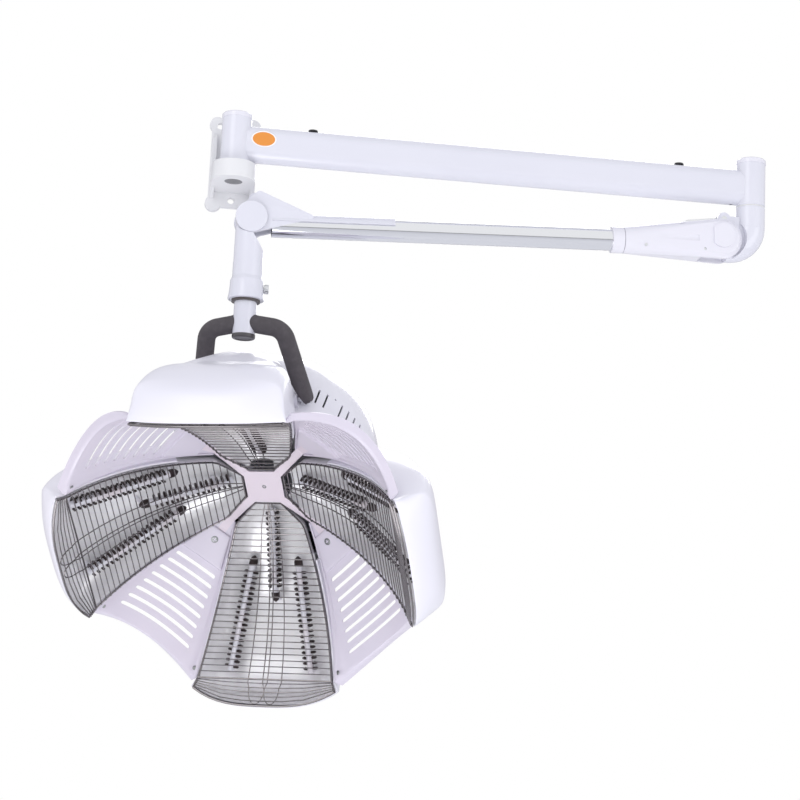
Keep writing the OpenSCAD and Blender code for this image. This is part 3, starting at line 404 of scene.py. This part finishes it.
# The stem's plug is a dark moulding pressed into the open end, with a thick rolled rim round a
# sunk face. The level pin's head is hidden by a white snap-on cap on each side of the column,
# and the column's mouth flares out to a rolled edge over its bush. The bush is coloured
# near-black as painted shade for the dark ring in the gap under the mouth.
plug_moulding = Finish("stem_plug_moulding", (0.075, 0.07, 0.075), 0.35)
plug_moulding.tint(plug_moulding.noise(60, 2).above(0.4, 0.4) * 0.5, (0.10, 0.095, 0.10))
plug_moulding.rough(plug_moulding.noise(250, 2) * 0.2 + 0.25)
bush_painted_shade = Finish("bush_painted_shade", (0.085, 0.07, 0.065), 0.45)
bush_painted_shade.tint(bush_painted_shade.noise(60, 2).above(0.4, 0.4) * 0.5, (0.11, 0.10, 0.10))
bush_painted_shade.rough(bush_painted_shade.noise(240, 2) * 0.15 + 0.38)
bush_painted_shade.dress("column_bush")


def turned_piece(name, profile, around=96):
    """A solid turned about z from (radius, height) pairs, which close on the axis or on themselves."""
    bpy.ops.mesh.primitive_grid_add(x_subdivisions=around, y_subdivisions=len(profile) - 1, size=1)
    piece = bpy.context.object
    piece.name = name
    for v in piece.data.vertices:
        radius, height = profile[round((v.co.y + 0.5) * (len(profile) - 1))]
        angle = 2 * math.pi * (v.co.x + 0.5)
        v.co = (radius * math.cos(angle), radius * math.sin(angle), height)
    bpy.ops.object.mode_set(mode="EDIT")
    bpy.ops.mesh.select_all(action="SELECT")
    bpy.ops.mesh.remove_doubles(threshold=0.000005)
    bpy.ops.object.mode_set(mode="OBJECT")
    return piece


def rolled(radius, height, corner, steps=6):
    """The profile of a rounded outer corner, from its top inwards to its side."""
    turns = [math.pi / 2 * i / steps for i in range(steps + 1)]
    return [(radius - corner * (1 - math.sin(t)), height - corner * (1 - math.cos(t))) for t in turns]


head_x, pivot_y = 0.0266625, -0.062
level_pin_z, column_low, stem_low = -0.09126, -0.20226, -0.24926
plug_radius, plug_rim, plug_corner, plug_face = 0.0155, 0.0054, 0.0022, 0.0046
plug_profile = [(0, plug_face), (0.0108, plug_face), (0.0116, plug_rim)]
plug_profile += rolled(plug_radius, plug_rim, plug_corner) + [(plug_radius, 0), (0, 0)]
plug = turned_piece("stem_plug_fine", plug_profile)
plug.data.transform(Matrix.Translation((head_x, pivot_y, stem_low)) @ Matrix.Rotation(math.pi, 4, "X"))
settle(plug, "handle", "dark_plastic", plug_moulding, "stem_plug")

cap_radius, cap_height, cap_corner = 0.0214, 0.004, 0.0014
cap_bore, cap_sunk, cap_out = 0.0143, 0.001, 0.0169
cap_profile = [(0, cap_sunk), (0, cap_height)] + rolled(cap_radius, cap_height, cap_corner)
cap_profile += [(cap_radius, 0), (cap_bore, 0), (cap_bore, cap_sunk), (0, cap_sunk)]
for name, side in (("pin_cap_front", -1), ("pin_cap_rear", 1)):
    cap = turned_piece(name, cap_profile)
    cap.data.transform(
        Matrix.Translation((head_x, pivot_y + side * cap_out, level_pin_z))
        @ Matrix.Rotation(-side * math.pi / 2, 4, "X")
    )
    settle(cap, "head", "arm_paint", enamel)

mouth_bore, mouth_radius, mouth_flare = 0.02205, 0.0223, 0.0019
flare_height, flare_steps, mouth_rise = 0.0245, 10, 0.026
flare = [
    (mouth_radius + mouth_flare * (i / flare_steps) ** 2, -flare_height * i / flare_steps)
    for i in range(flare_steps + 1)
]
lip = [(0.0242, -0.0252), (0.0238, -0.0257), (0.0232, -0.0259), (mouth_bore, -0.0259), (mouth_bore, 0)]
mouth = turned_piece("column_mouth", [(mouth_bore, 0)] + flare + lip)
mouth.data.transform(Matrix.Translation((head_x, pivot_y, column_low + mouth_rise)))
stud_radius, stud_length, stud_out, stud_up = 0.0027, 0.02, 0.0225, 0.017
bpy.ops.mesh.primitive_cylinder_add(
    vertices=32,
    radius=stud_radius,
    depth=stud_length,
    location=(head_x + stud_out, pivot_y, column_low + stud_up),
    rotation=(0, math.pi / 2, 0),
)
stud_hole = bpy.context.object
thread = mouth.modifiers.new("stud_hole", "BOOLEAN")
thread.object, thread.operation = stud_hole, "DIFFERENCE"
settle(mouth, "head", "arm_paint", enamel)
bpy.data.objects.remove(stud_hole)

# The centre plate is a satin moulding. Its colour, darker and pinker than the covers, is painted
# shade and painted warm reflection on a white part. Its four straps reach to the gussets' inner
# ends, and one screw holds its middle.
plate_warm_shade = Finish("plate_warm_shade", (0.74, 0.66, 0.73), 0.36, coat=0.15)
plate_warm_shade.tint(plate_warm_shade.noise(9, 2).above(0.4, 0.4) * 0.4, (0.76, 0.67, 0.72))
plate_warm_shade.rough(plate_warm_shade.noise(300, 2) * 0.1 + 0.3)
plate_warm_shade.dress("centre_plate")

# Behind the hood sit a moulded control panel, the blank membrane keypad stuck on it, the black
# power rocker that snaps into it, and the circuit board of dark green laminate.
panel = Finish("panel_moulding", (0.62, 0.62, 0.66), 0.35)
panel.rough(panel.noise(300, 2) * 0.12 + 0.28)
panel.dress("control_panel")
film = Finish("keypad_film", (0.05, 0.06, 0.08), 0.4)
film.rough(film.noise(200, 2) * 0.1 + 0.35)
film.dress("keypad")
rocker_plastic = Finish("rocker_plastic", (0.02, 0.02, 0.022), 0.25)
rocker_plastic.rough(rocker_plastic.noise(200, 2) * 0.1 + 0.2)
rocker_plastic.dress("power_rocker")
board = Finish("board_laminate", (0.010, 0.035, 0.018), 0.6)
board.tint(board.noise(160, 3).above(0.5, 0.1), (0.014, 0.045, 0.022))
board.dress("circuit_board")

# Each petal's cover is a deep, half-gloss moulding with a slim rolled edge, riveted to its
# gussets at the rim. The hood's own frame: x across, y up to the tilt pivots, z out of the bowl.
tilt = math.radians(47)
tilt_pivot = Vector((0.0468151, -0.0066354, -0.322295))
pivots_up, pivots_back = 0.132, 0.022
hood_place = (
    Matrix.Translation(tilt_pivot)
    @ Matrix.Rotation(-swivel, 4, "Z")
    @ Matrix.Rotation(math.pi / 2 + tilt, 4, "X")
    @ Matrix.Translation((0, -pivots_up, pivots_back))
)
petal_names = ("top", "right", "bottom", "left")
bowl_radius, hub_slope, rim_slope = 0.325, math.radians(20.6), math.radians(61)
hub_radius, hub_level, hub_half, petal_flare, hub_gap = 0.05, 0.004, 0.049, 0.294, 0.008
bend_arc = bowl_radius * (rim_slope - hub_slope)
rim_past, rim_bow, rim_round = 0.038, 0.68, 3
rim_s = 1 + rim_past / bend_arc


def slope_at(s):
    return hub_slope + (rim_slope - hub_slope) * min(s, 1)


def radius_at(s):
    past = max(s - 1, 0) * bend_arc
    spread = math.sin(slope_at(s)) - math.sin(hub_slope)
    return hub_radius + bowl_radius * spread + past * math.cos(rim_slope)


def level_at(s):
    past = max(s - 1, 0) * bend_arc
    rise = math.cos(hub_slope) - math.cos(slope_at(s))
    return hub_level + bowl_radius * rise + past * math.sin(rim_slope)


def half_width(s):
    return hub_half + (radius_at(s) - hub_radius) * petal_flare


def mouth_half(s):
    """Half width of the petal's mouth, which draws in to the hub's centre plate."""
    return min(half_width(s), radius_at(s) - hub_gap)


def petal_point(s, x, back):
    """A place on a petal: s from hub to rim, x across, and back from its inner face."""
    if s > 1:
        s = 1 + (s - 1) * (1 - rim_bow * min(abs(x) / half_width(s), 1) ** rim_round)
    t = slope_at(s)
    return Vector((x, radius_at(s) + back * math.sin(t), level_at(s) - back * math.cos(t)))


def read_law(law, s, column=1):
    """Reads a table along a smooth curve through its rows."""
    i = max(0, min(len(law) - 2, sum(s > row[0] for row in law) - 1))

    def lean(k):
        low, high = max(k - 1, 0), min(k + 1, len(law) - 1)
        return (law[high][column] - law[low][column]) / (law[high][0] - law[low][0])

    span = law[i + 1][0] - law[i][0]
    f = max(0.0, min((s - law[i][0]) / span, 1.0))
    return (
        law[i][column] * (1 + 2 * f) * (1 - f) ** 2 + law[i + 1][column] * f * f * (3 - 2 * f)
        + span * (lean(i) * f * (1 - f) ** 2 - lean(i + 1) * f * f * (1 - f))
    )


def row_place(law, share):
    """The s at a share of the table's rows, so that close rows get more of a grid's lines."""
    spot = share * (len(law) - 1)
    i = min(int(spot), len(law) - 2)
    return law[i][0] + (law[i + 1][0] - law[i][0]) * (spot - i)


# Rows of the cover's table: s, depth behind the petal's inner face, and how square its section is.
cover_law = (
    (0.265, 0.0775, 2.8), (0.34, 0.092, 2.6), (0.42, 0.1005, 2.4), (0.5, 0.100, 2.6), (0.6, 0.088, 3.4),
    (0.7, 0.075, 5), (0.8, 0.070, 7), (0.9, 0.063, 7), (1, 0.052, 6), (1.06, 0.0435, 4.2),
    (1.1, 0.034, 3.4), (1.135, 0.021, 3.2), (1.155, 0.011, 3), (rim_s, 0.003, 3),
)
# Rows of the reflector's table: s and depth.
mirror_law = (
    (-0.09, 0.016), (0.02, 0.030), (0.14, 0.035), (0.26, 0.038), (0.42, 0.043), (0.6, 0.047),
    (0.8, 0.048), (1, 0.042), (1.06, 0.035), (1.1, 0.025), (1.135, 0.012),
)
cover_wall, mirror_wall, mirror_gap, mirror_power = 0.0025, 0.001, 0.0045, 3


def dish_point(s, half, depth, power, turn):
    """A place on a petal's dish, where turn runs from -90 to 90 degrees across it."""
    x = half * math.copysign(abs(math.sin(turn)) ** (2 / power), turn)
    return petal_point(s, x, depth * abs(math.cos(turn)) ** (2 / power))


def cover_point(share, turn, inset=0.0):
    s = row_place(cover_law, share)
    depth, power = read_law(cover_law, s), read_law(cover_law, s, 2)
    return dish_point(s, half_width(s) - inset, depth - inset, power, turn)


def mirror_point(share, turn, inset=0.0):
    s = row_place(mirror_law, share)
    depth = read_law(mirror_law, s)
    return dish_point(s, mouth_half(s) - mirror_gap - inset, depth - inset, mirror_power, turn)


def bent_grid(name, across, along, shape):
    """A grid whose points go where shape puts them; its two inputs run 0 to 1."""
    bpy.ops.mesh.primitive_grid_add(x_subdivisions=across, y_subdivisions=along, size=1)
    grid = bpy.context.object
    grid.name = name
    for v in grid.data.vertices:
        v.co = shape(v.co.x + 0.5, v.co.y + 0.5)
    return grid


def petal_turn(index):
    return hood_place @ Matrix.Rotation(-math.pi / 2 * index, 4, "Z")


def copy_of(master, place):
    """A copy of a piece with a mesh of its own, moved to its place."""
    copy = master.copy()
    copy.data = master.data.copy()
    copy.data.transform(place)
    bpy.context.collection.objects.link(copy)
    return copy


def copies_on_petals(master, body, slot, finish, stem_name):
    """Copies a piece drawn in the petal's frame onto all four petals, then drops the master."""
    for index, side in enumerate(petal_names):
        copy = copy_of(master, petal_turn(index))
        copy.name = f"{stem_name}_{side}_fine"
        settle(copy, body, slot, finish, f"{stem_name}_{side}")
    bpy.data.objects.remove(master)


def closed_sheet(name, across, along, outer, inner):
    """A sheet with a wall: two grids of the same count, one inside the other, sewn at the edges."""
    back = bent_grid(name, across, along, outer)
    front = bent_grid(name + "_front", across, along, inner)
    pick(back, front)
    bpy.ops.object.join()
    bpy.ops.object.mode_set(mode="EDIT")
    bpy.ops.mesh.select_all(action="DESELECT")
    bpy.ops.mesh.select_non_manifold(
        use_wire=False, use_multi_face=False, use_non_contiguous=False, use_verts=False
    )
    bpy.ops.mesh.bridge_edge_loops()
    bpy.ops.object.mode_set(mode="OBJECT")
    return bpy.context.object


def dish(name, across, along, point, wall):
    """A petal's dish with a wall, from a function of its share of the rows, its turn and its inset."""
    return closed_sheet(
        name, across, along,
        lambda u, v: point(v, math.pi * (u - 0.5)),
        lambda u, v: point(v, math.pi * (u - 0.5), wall),
    )


cover_finish = Finish("cover_moulding", (0.84, 0.83, 0.90), 0.3, coat=0.25)
# The covers' soft pink patches, laid at random, are a painted warm reflection.
cover_finish.tint(cover_finish.noise(3, 1).above(0.4, 0.4) * 0.5, (0.86, 0.82, 0.87))
cover_finish.rough(cover_finish.noise(200, 2) * 0.06 + 0.28)
cover = dish("cover_master", 56, 65, cover_point, cover_wall)
copies_on_petals(cover, "hood", "white_moulding", cover_finish, "cover")

# The reflector is a bright-rolled aluminium trough behind the elements. It mirrors the coils
# and the wires, and ripples a little where it was formed.
mirror_sheet = Finish("reflector_sheet", (0.99, 0.98, 1.0), 0.18, 0.22)
mirror_sheet.rough(mirror_sheet.noise(14, 3) * 0.10 + 0.14)
mirror_sheet.bump(mirror_sheet.noise(22, 1), 0.0012, 0.6)
reflector = dish("reflector_master", 40, 40, mirror_point, mirror_wall)
copies_on_petals(reflector, "hood", "mirror_sheet", mirror_sheet, "reflector")

# The guard is a welded wire grille: round cross wires hooked over two side rails, frame wires at
# the hub, the bend's end and the rim, and two hairpins that run the petal's length to stiffen it.
guard_wire = Finish("guard_wire", (0.22, 0.205, 0.21), 0.25, 1.0)
guard_wire.rough(guard_wire.noise(300, 2) * 0.2 + 0.12)
thin, frame_wire = 0.0016, 0.0026
rail_inset, guard_back = 0.004, -0.0035
cross_wires = wire_curve("cross_wires", thin)
frame_wires = wire_curve("frame_wires", frame_wire)


def rail_place(s, share, back=guard_back):
    return petal_point(s, (mouth_half(s) - rail_inset) * share, back)


hub_s, main_wires, rim_wires = -0.09, 27, 5
wire_places = [hub_s + (1 - hub_s) * i / (main_wires + 1) for i in range(1, main_wires + 1)]
wire_places += [1 + (rim_s - 1) * i / (rim_wires + 1) for i in range(1, rim_wires + 1)]
# Each cross wire as pairs: its share of the mouth's half width, and its lift over the guard.
wire_hook = [(1, 0.0018), (1.012, 0.0002), (1, -0.002)]
wire_run = [(share, 0.0020) for share in (-0.97, -0.6, -0.3, 0, 0.3, 0.6, 0.97)]
cross_line = [(-share, lift) for share, lift in reversed(wire_hook)] + wire_run + wire_hook
for s in wire_places:
    run_wire(cross_wires, [rail_place(s, share, guard_back - lift) for share, lift in cross_line])

hairpins = ((-0.26, 0.02), (-0.05, 0.24))
leg_steps, leg_top, turn_steps = 24, 1.02, 12
turn_gap, turn_depth, turn_squeeze = 0.012, 0.10, 0.8
legs = [hub_s + (leg_top - hub_s) * i / leg_steps for i in range(leg_steps + 1)]
turns = [math.pi * i / turn_steps for i in range(turn_steps + 1)]
for first, last in hairpins:
    centre, reach = (first + last) / 2, (last - first) / 2
    turn_back = [
        rail_place(
            rim_s - turn_gap - turn_depth * (1 - math.sin(turn)),
            centre - reach * turn_squeeze * math.cos(turn),
        )
        for turn in turns
    ]
    up = [rail_place(s, first) for s in legs]
    down = [rail_place(s, last) for s in reversed(legs)]
    run_wire(cross_wires, up + turn_back + down)

half_steps, rail_steps = 8, 40
for s in (hub_s, 1.0, rim_s):
    run_wire(frame_wires, [rail_place(s, i / half_steps) for i in range(-half_steps, half_steps + 1)])
rail_line = [hub_s + (rim_s - hub_s) * i / rail_steps for i in range(rail_steps + 1)]
for side in (-1, 1):
    run_wire(frame_wires, [rail_place(s, side) for s in rail_line])
grille = as_mesh(cross_wires, frame_wires)
copies_on_petals(grille, "hood", "grille_wire", guard_wire, "grille")

# A heating element is a pale ceramic rod with a dark, scaled band wound round its back in
# open turns, a blunt dark tip, and ceramic feet. Three lie in each petal.
coil_metal = Finish("coil_metal", (0.035, 0.022, 0.022), 0.5, 0.3)
coil_metal.tint(coil_metal.noise(200, 3).above(0.45, 0.2), (0.02, 0.014, 0.015))
coil_metal.rough(coil_metal.noise(300, 2) * 0.3 + 0.35)
ceramic = Finish("core_ceramic", (0.80, 0.79, 0.85), 0.4)
ceramic.tint(ceramic.noise(30, 3).above(0.45, 0.3) * 0.7, (0.74, 0.62, 0.64))
ceramic.rough(ceramic.noise(250, 2) * 0.2 + 0.4)
heater_depth, middle_forward = 0.024, 0.008
outer_s, outer_x, middle_s = (0.92, 0.26), (0.058, 0.031), (-0.03, 0.52)
left_element, right_element = (
    tuple(petal_point(s, side * x, heater_depth) for s, x in zip(outer_s, outer_x))
    for side in (-1, 1)
)
middle_element = (
    petal_point(middle_s[0], 0, heater_depth - middle_forward),
    petal_point(middle_s[1], 0, heater_depth),
)
core_radius, core_short, curve_rings = 0.0048, 0.012, 3
band_wire, band_radius, band_pitch, band_lead = 0.0038, 0.0084, 0.0074, 0.0012
band_from, band_sweep, band_steps = 38, 285, 9
first_band, unwound = 0.006, 0.018
tip_steps, tip_widths = (0.014, 0.0135, 0.007, 0.003, 0.0), (0.9, 1.3, 1.25, 0.9, 0.25)
band_turns = [math.radians(band_from + band_sweep * step / band_steps) for step in range(band_steps + 1)]
bands = wire_curve("bands", band_wire)
tips = wire_curve("tips", 2 * core_radius, curve_rings)
cores = wire_curve("cores", 2 * core_radius, curve_rings)
for start, end in (left_element, middle_element, right_element):
    along = (end - start).normalized()
    side_way = Vector((1, 0, 0)).cross(along).cross(along).normalized()
    out_way = along.cross(side_way).normalized()
    if out_way.z < 0:
        out_way = -out_way
    length = (end - start).length
    for turn in range(int((length - unwound) / band_pitch)):
        middle = start + along * (first_band + band_pitch * turn)
        run_wire(bands, [
            middle
            + band_radius * (out_way * math.cos(a) + side_way * math.sin(a))
            + along * band_lead * step / band_steps
            for step, a in enumerate(band_turns)
        ])
    run_wire(cores, [start, start + along * (length * 0.5), end - along * core_short])
    run_wire(tips, [end - along * d for d in tip_steps], tip_widths)

# Each foot as a row: s, x, its reach in front of the rod, and its share of the trough's depth.
foot_width, foot_gap = 0.006, 0.0014
foot_rows = (
    (0.3, 0.0325, 0.002, 0.93), (0.3, -0.0325, 0.002, 0.93), (0.88, 0.0565, 0.002, 0.93),
    (0.88, -0.0565, 0.002, 0.93), (0.08, 0, 0.006, 1), (0.5, 0, 0.002, 1),
)
feet = wire_curve("feet", foot_width, curve_rings)
for s, x, ahead, share in foot_rows:
    run_wire(feet, [
        petal_point(s, x, heater_depth - ahead),
        petal_point(s, x, read_law(mirror_law, s) * share - foot_gap),
    ])
bands = as_mesh(bands, tips)
bands.data.materials.append(coil_metal.material)
cores = as_mesh(cores, feet)
cores.data.materials.append(ceramic.material)
pick(bands, cores)
bpy.ops.object.join()
copies_on_petals(bands, "hood", "heater_coil", None, "heater")

# Behind the dome's vent slots lies a thin black band with a fine cell bump. It is painted shade
# that stands for the dark, shaded hollow of the dome and makes the slots look dark.
slot_shade_band = Finish("vent_painted_shade", (0.012, 0.012, 0.013), 0.7)
slot_shade_band.rough(slot_shade_band.noise(300, 2) * 0.2 + 0.6)
slot_shade_band.bump(slot_shade_band.cells(900), 0.0002, 0.6)
dome_level, shade_band_outer, shade_band_inner = -0.060, 0.1412, 0.1404
shade_band_low, shade_band_height, shade_band_steps = -0.012, 0.05, 12
arc = [
    math.asin((shade_band_low + shade_band_height * i / shade_band_steps) / shade_band_outer)
    for i in range(shade_band_steps + 1)
]
shade_band_profile = [
    (radius * math.cos(a), dome_level + radius * math.sin(a))
    for radius, turns in ((shade_band_outer, arc), (shade_band_inner, arc[::-1]))
    for a in turns
]
shade_liner = turned_piece("vent_painted_shade", shade_band_profile + shade_band_profile[:1], 128)
shade_liner.data.transform(hood_place)
settle(shade_liner, "hood", "dark_plastic", slot_shade_band)

# A gusset closes the corner between two petals: a thin satin moulding that is dished outwards,
# with eight slots, a beaded border, a rolled rim and a raised pad for its screw. It is white;
# its darker lilac-pink colour is painted shade and painted warm reflection.
gusset_shade_paint = Finish("gusset_warm_shade", (0.65, 0.61, 0.70), 0.34, coat=0.15)
gusset_shade_paint.tint(gusset_shade_paint.noise(7, 2).above(0.4, 0.4) * 0.4, (0.69, 0.62, 0.69))
gusset_shade_paint.rough(gusset_shade_paint.noise(300, 2) * 0.1 + 0.28)
gusset_shade_paint.bump(gusset_shade_paint.noise(800, 1), 0.00004)
gusset_names = ("top_right", "bottom_right", "bottom_left", "top_left")
root_two = math.sqrt(2)
gusset_wall, gusset_low, gusset_clear = 0.0025, 0.16, 0.0006
slot_rows, first_slot, last_slot = 8, 0.45, 0.90
slot_half_s, slot_reach = 0.0115, 0.74
drop_law = ((0, 0.013), (0.4, 0.012), (0.8, 0.007), (1, 0.001))
bulge_out, bulge_back, nudge = 0.0175, 0.035, 0.001


def gusset_reach(s):
    """Distance of the gusset from the hood's axis along its own centre line, at the petals' edges."""
    return (radius_at(s) + half_width(s)) / root_two


def gusset_half(s):
    edge = (root_two * gusset_reach(s) - hub_half + petal_flare * hub_radius) / (1 + petal_flare)
    return (edge * (1 - petal_flare) - hub_half + petal_flare * hub_radius) / root_two - gusset_clear


def gusset_point(s, v, raise_by=0.0):
    """A place on the gusset: s from hub to rim, v from -1 to 1 across, raised towards the bowl."""
    def on_sheet(place):
        bulge = (max(place - gusset_low, 0) / (1 - gusset_low)) ** 2 * (1 - v * v)
        return Vector((
            v * gusset_half(place),
            gusset_reach(place) + bulge_out * bulge,
            level_at(place) - read_law(drop_law, place) - bulge_back * bulge,
        ))
    run = on_sheet(min(s, 1) + nudge) - on_sheet(min(s, 1) - nudge)
    face = Vector((0, -run.z, run.y)).normalized()
    return on_sheet(min(s, 1)) + face * raise_by + run.normalized() * max(s - 1, 0) * bend_arc


def gusset_turn(index):
    return hood_place @ Matrix.Rotation(-math.pi / 4 - math.pi / 2 * index, 4, "Z")


# The sheet's columns run from -1 to 1 across it. Each row holds s, a step in s to a slot's edge,
# and how far the rim's roll turns back. The bead's height goes by column.
half_columns = (0, 0.12, 0.24, 0.36, 0.48, 0.58, 0.66, 0.70, 0.725, slot_reach, 0.80, 0.90, 0.93, 0.96, 1)
columns = [-v for v in reversed(half_columns[1:])] + list(half_columns)
slot_places = [first_slot + (last_slot - first_slot) * i / (slot_rows - 1) for i in range(slot_rows)]
rows = [(0.072, 0, 0), (0.12, 0, 0)] + [(gusset_low + 0.065 * i, 0, 0) for i in range(5)]
rows += [(place, side * slot_half_s, 0) for place in slot_places for side in (-1, 1)]
rows += [(place, 0, 0) for place in (0.945, 0.98, 1.0)]
rows += [(1.006, 0, -0.0012), (1.009, 0, -0.0035), (1.009, 0, -0.007), (1.009, 0, -0.012)]
bead = {0.93: 0.0022, 0.96: 0.0026, 1: 0.0016}
slot_ends = {0.70: 0.95, 0.725: 0.75, slot_reach: 0.4}


def gusset_shape(u, w):
    v = columns[round(u * (len(columns) - 1))]
    place, side, back = rows[round(w * (len(rows) - 1))]
    edge = side * slot_ends.get(round(abs(v), 3), 1)
    return gusset_point(place + edge, v, back or bead.get(abs(v), 0))


def in_slot(face):
    """Whether a face of the sheet lies between the two rows of one slot, within the slots' reach."""
    places = {rows[i // len(columns)][0] for i in face.vertices}
    within = all(abs(columns[i % len(columns)]) <= slot_reach for i in face.vertices)
    return within and len(places) == 1 and places <= set(slot_places)


gusset = bent_grid("gusset_master", len(columns) - 1, len(rows) - 1, gusset_shape)
bpy.ops.object.mode_set(mode="EDIT")
bpy.ops.mesh.select_mode(type="FACE")
bpy.ops.mesh.select_all(action="DESELECT")
bpy.ops.object.mode_set(mode="OBJECT")
for face in gusset.data.polygons:
    face.select = in_slot(face)
bpy.ops.object.mode_set(mode="EDIT")
bpy.ops.mesh.delete(type="FACE")
bpy.ops.mesh.select_mode(type="VERT")
bpy.ops.object.mode_set(mode="OBJECT")
wall = gusset.modifiers.new("wall", "SOLIDIFY")
wall.thickness, wall.offset = gusset_wall, 0

pad_start, pad_length, pad_seat = 0.01, 0.225, 0.0008
pad_half, pad_flat, pad_roll, pad_grid = 0.88, 0.88, 0.12, 33
pad_front, pad_back = 0.0042, 0.0012


def pad_shape(lift):
    def shape(u, w):
        edge = max(abs(2 * u - 1), abs(2 * w - 1))
        roll = 1 if edge < pad_flat else math.sqrt(max(0.0, 1 - ((edge - pad_flat) / pad_roll) ** 2))
        s = gusset_low + pad_start + pad_length * w
        return gusset_point(s, (2 * u - 1) * pad_half, lift * roll + pad_seat)
    return shape


pad = closed_sheet("gusset_pad", pad_grid, pad_grid, pad_shape(pad_front), pad_shape(pad_back))
for index, corner_name in enumerate(gusset_names):
    sheet, boss = copy_of(gusset, gusset_turn(index)), copy_of(pad, gusset_turn(index))
    sheet.name, boss.name = f"gusset_{corner_name}_fine", f"gusset_pad_{corner_name}"
    settle(sheet, "hood", "lilac_moulding", gusset_shade_paint, f"gusset_{corner_name}")
    settle(boss, "hood", "lilac_moulding", gusset_shade_paint)
for master in (gusset, pad):
    bpy.data.objects.remove(master)

# Pan-head screws with a cross recess hold the gussets' pads and the centre plate, and small
# rivets fasten each gusset's rim corners to the petals. All are zinc-plated steel.
screw_steel = Finish("screw_zinc", (0.26, 0.27, 0.27), 0.3, 1.0)
screw_steel.rough(screw_steel.noise(500, 2) * 0.25 + 0.22)
head_round, head_rings, far_out = 0.6, 4, 0.02


def fastener(name, radius, height, recess=0.0):
    """A domed head whose mesh is centred on z = 0, with a cross recess where recess is above 0."""
    bpy.ops.mesh.primitive_cylinder_add(vertices=32, radius=radius, depth=height, location=(0, 0, height / 2))
    head = bpy.context.object
    head.name = name
    round_over = head.modifiers.new("round_over", "BEVEL")
    round_over.width, round_over.segments, round_over.limit_method = height * head_round, head_rings, "ANGLE"
    blades = []
    for turn in (0, 1) if recess else ():
        bpy.ops.mesh.primitive_cube_add(size=1, location=(0, 0, height))
        blade = bpy.context.object
        slit = Matrix.Diagonal((recess * 2, recess * 0.5, height, 1))
        blade.data.transform(Matrix.Rotation(math.pi / 2 * turn, 4, "Z") @ slit)
        cross = head.modifiers.new("cross", "BOOLEAN")
        cross.object, cross.operation = blade, "DIFFERENCE"
        blades.append(blade)
    lay_down(head)
    for blade in blades:
        bpy.data.objects.remove(blade)
    return head


def seated(master, place, face, turn):
    """A copy of a fastener at a place, facing along face, and lifted by half its height in the world."""
    upright = face.to_track_quat("Z", "Y").to_matrix().to_4x4()
    return copy_of(master, turn @ Matrix.Translation(place) @ upright)


def on_gusset(master, s, v, lift, index):
    """A copy of a fastener on one gusset, square to the sheet's line from hub to rim."""
    spot = gusset_point(s, v, lift)
    return seated(master, spot, gusset_point(s, v, far_out) - spot, gusset_turn(index))


pad_s, pad_top, rim_corner_s, rim_corner_v, rim_top = 0.25, 0.0048, 0.975, 0.93, 0.0034
plate_front, out_of_bowl = Vector((0, 0, 0.002)), Vector((0, 0, 1))
pad_screw = fastener("pad_screw", 0.0053, 0.0026, recess=0.0031)
plate_screw = fastener("plate_screw", 0.0032, 0.0016, recess=0.0019)
rivet = fastener("rim_rivet", 0.0032, 0.002)
screws, rivets = [seated(plate_screw, plate_front, out_of_bowl, hood_place)], []
for index in range(len(gusset_names)):
    screws.append(on_gusset(pad_screw, pad_s, 0, pad_top, index))
    for side in (-1, 1):
        rivets.append(on_gusset(rivet, rim_corner_s, side * rim_corner_v, rim_top, index))
for group, name, cad_nodes in (
    (screws, "hood_screws_fine", ("hood_screws",)),
    (rivets, "rim_rivets", ()),
):
    pick(*group)
    bpy.ops.object.join()
    group[0].name = name
    settle(group[0], "hood", "bright_steel", screw_steel, *cad_nodes)
for master in (pad_screw, plate_screw, rivet):
    bpy.data.objects.remove(master)

# A blank oval sticker is stuck on the upper arm beside the wall pivot: orange vinyl with a
# white edge, lying on the tube's flat side.
sticker_white = Finish("sticker_edge", (0.95, 0.95, 0.94), 0.35)
sticker_white.rough(sticker_white.noise(200, 2) * 0.1 + 0.3)
sticker_orange = Finish("sticker_face", (0.80, 0.28, 0.03), 0.3, coat=0.4)
sticker_orange.tint(sticker_orange.noise(90, 2).above(0.4, 0.4) * 0.4, (0.84, 0.34, 0.05))
arm_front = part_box("upper_arm_tube")[0].y
sticker_x, sticker_z, vinyl_thickness = 0.0365, 0.0178, 0.0003
for name, half_long, half_high, lift, finish in (
    ("sticker_edge", 0.0168, 0.0112, 0.00025, sticker_white),
    ("sticker_face", 0.0150, 0.0096, 0.0005, sticker_orange),
):
    bpy.ops.mesh.primitive_circle_add(vertices=64, radius=1, fill_type="NGON")
    oval = bpy.context.object
    oval.name = name
    oval.data.transform(
        Matrix.Translation((sticker_x, arm_front - lift, sticker_z))
        @ Matrix.Rotation(math.pi / 2, 4, "X")
        @ Matrix.Diagonal((half_long, half_high, 1, 1))
    )
    vinyl = oval.modifiers.new("vinyl", "SOLIDIFY")
    vinyl.thickness, vinyl.offset = vinyl_thickness, 0
    settle(oval, "upper_arm", "arm_paint", finish)
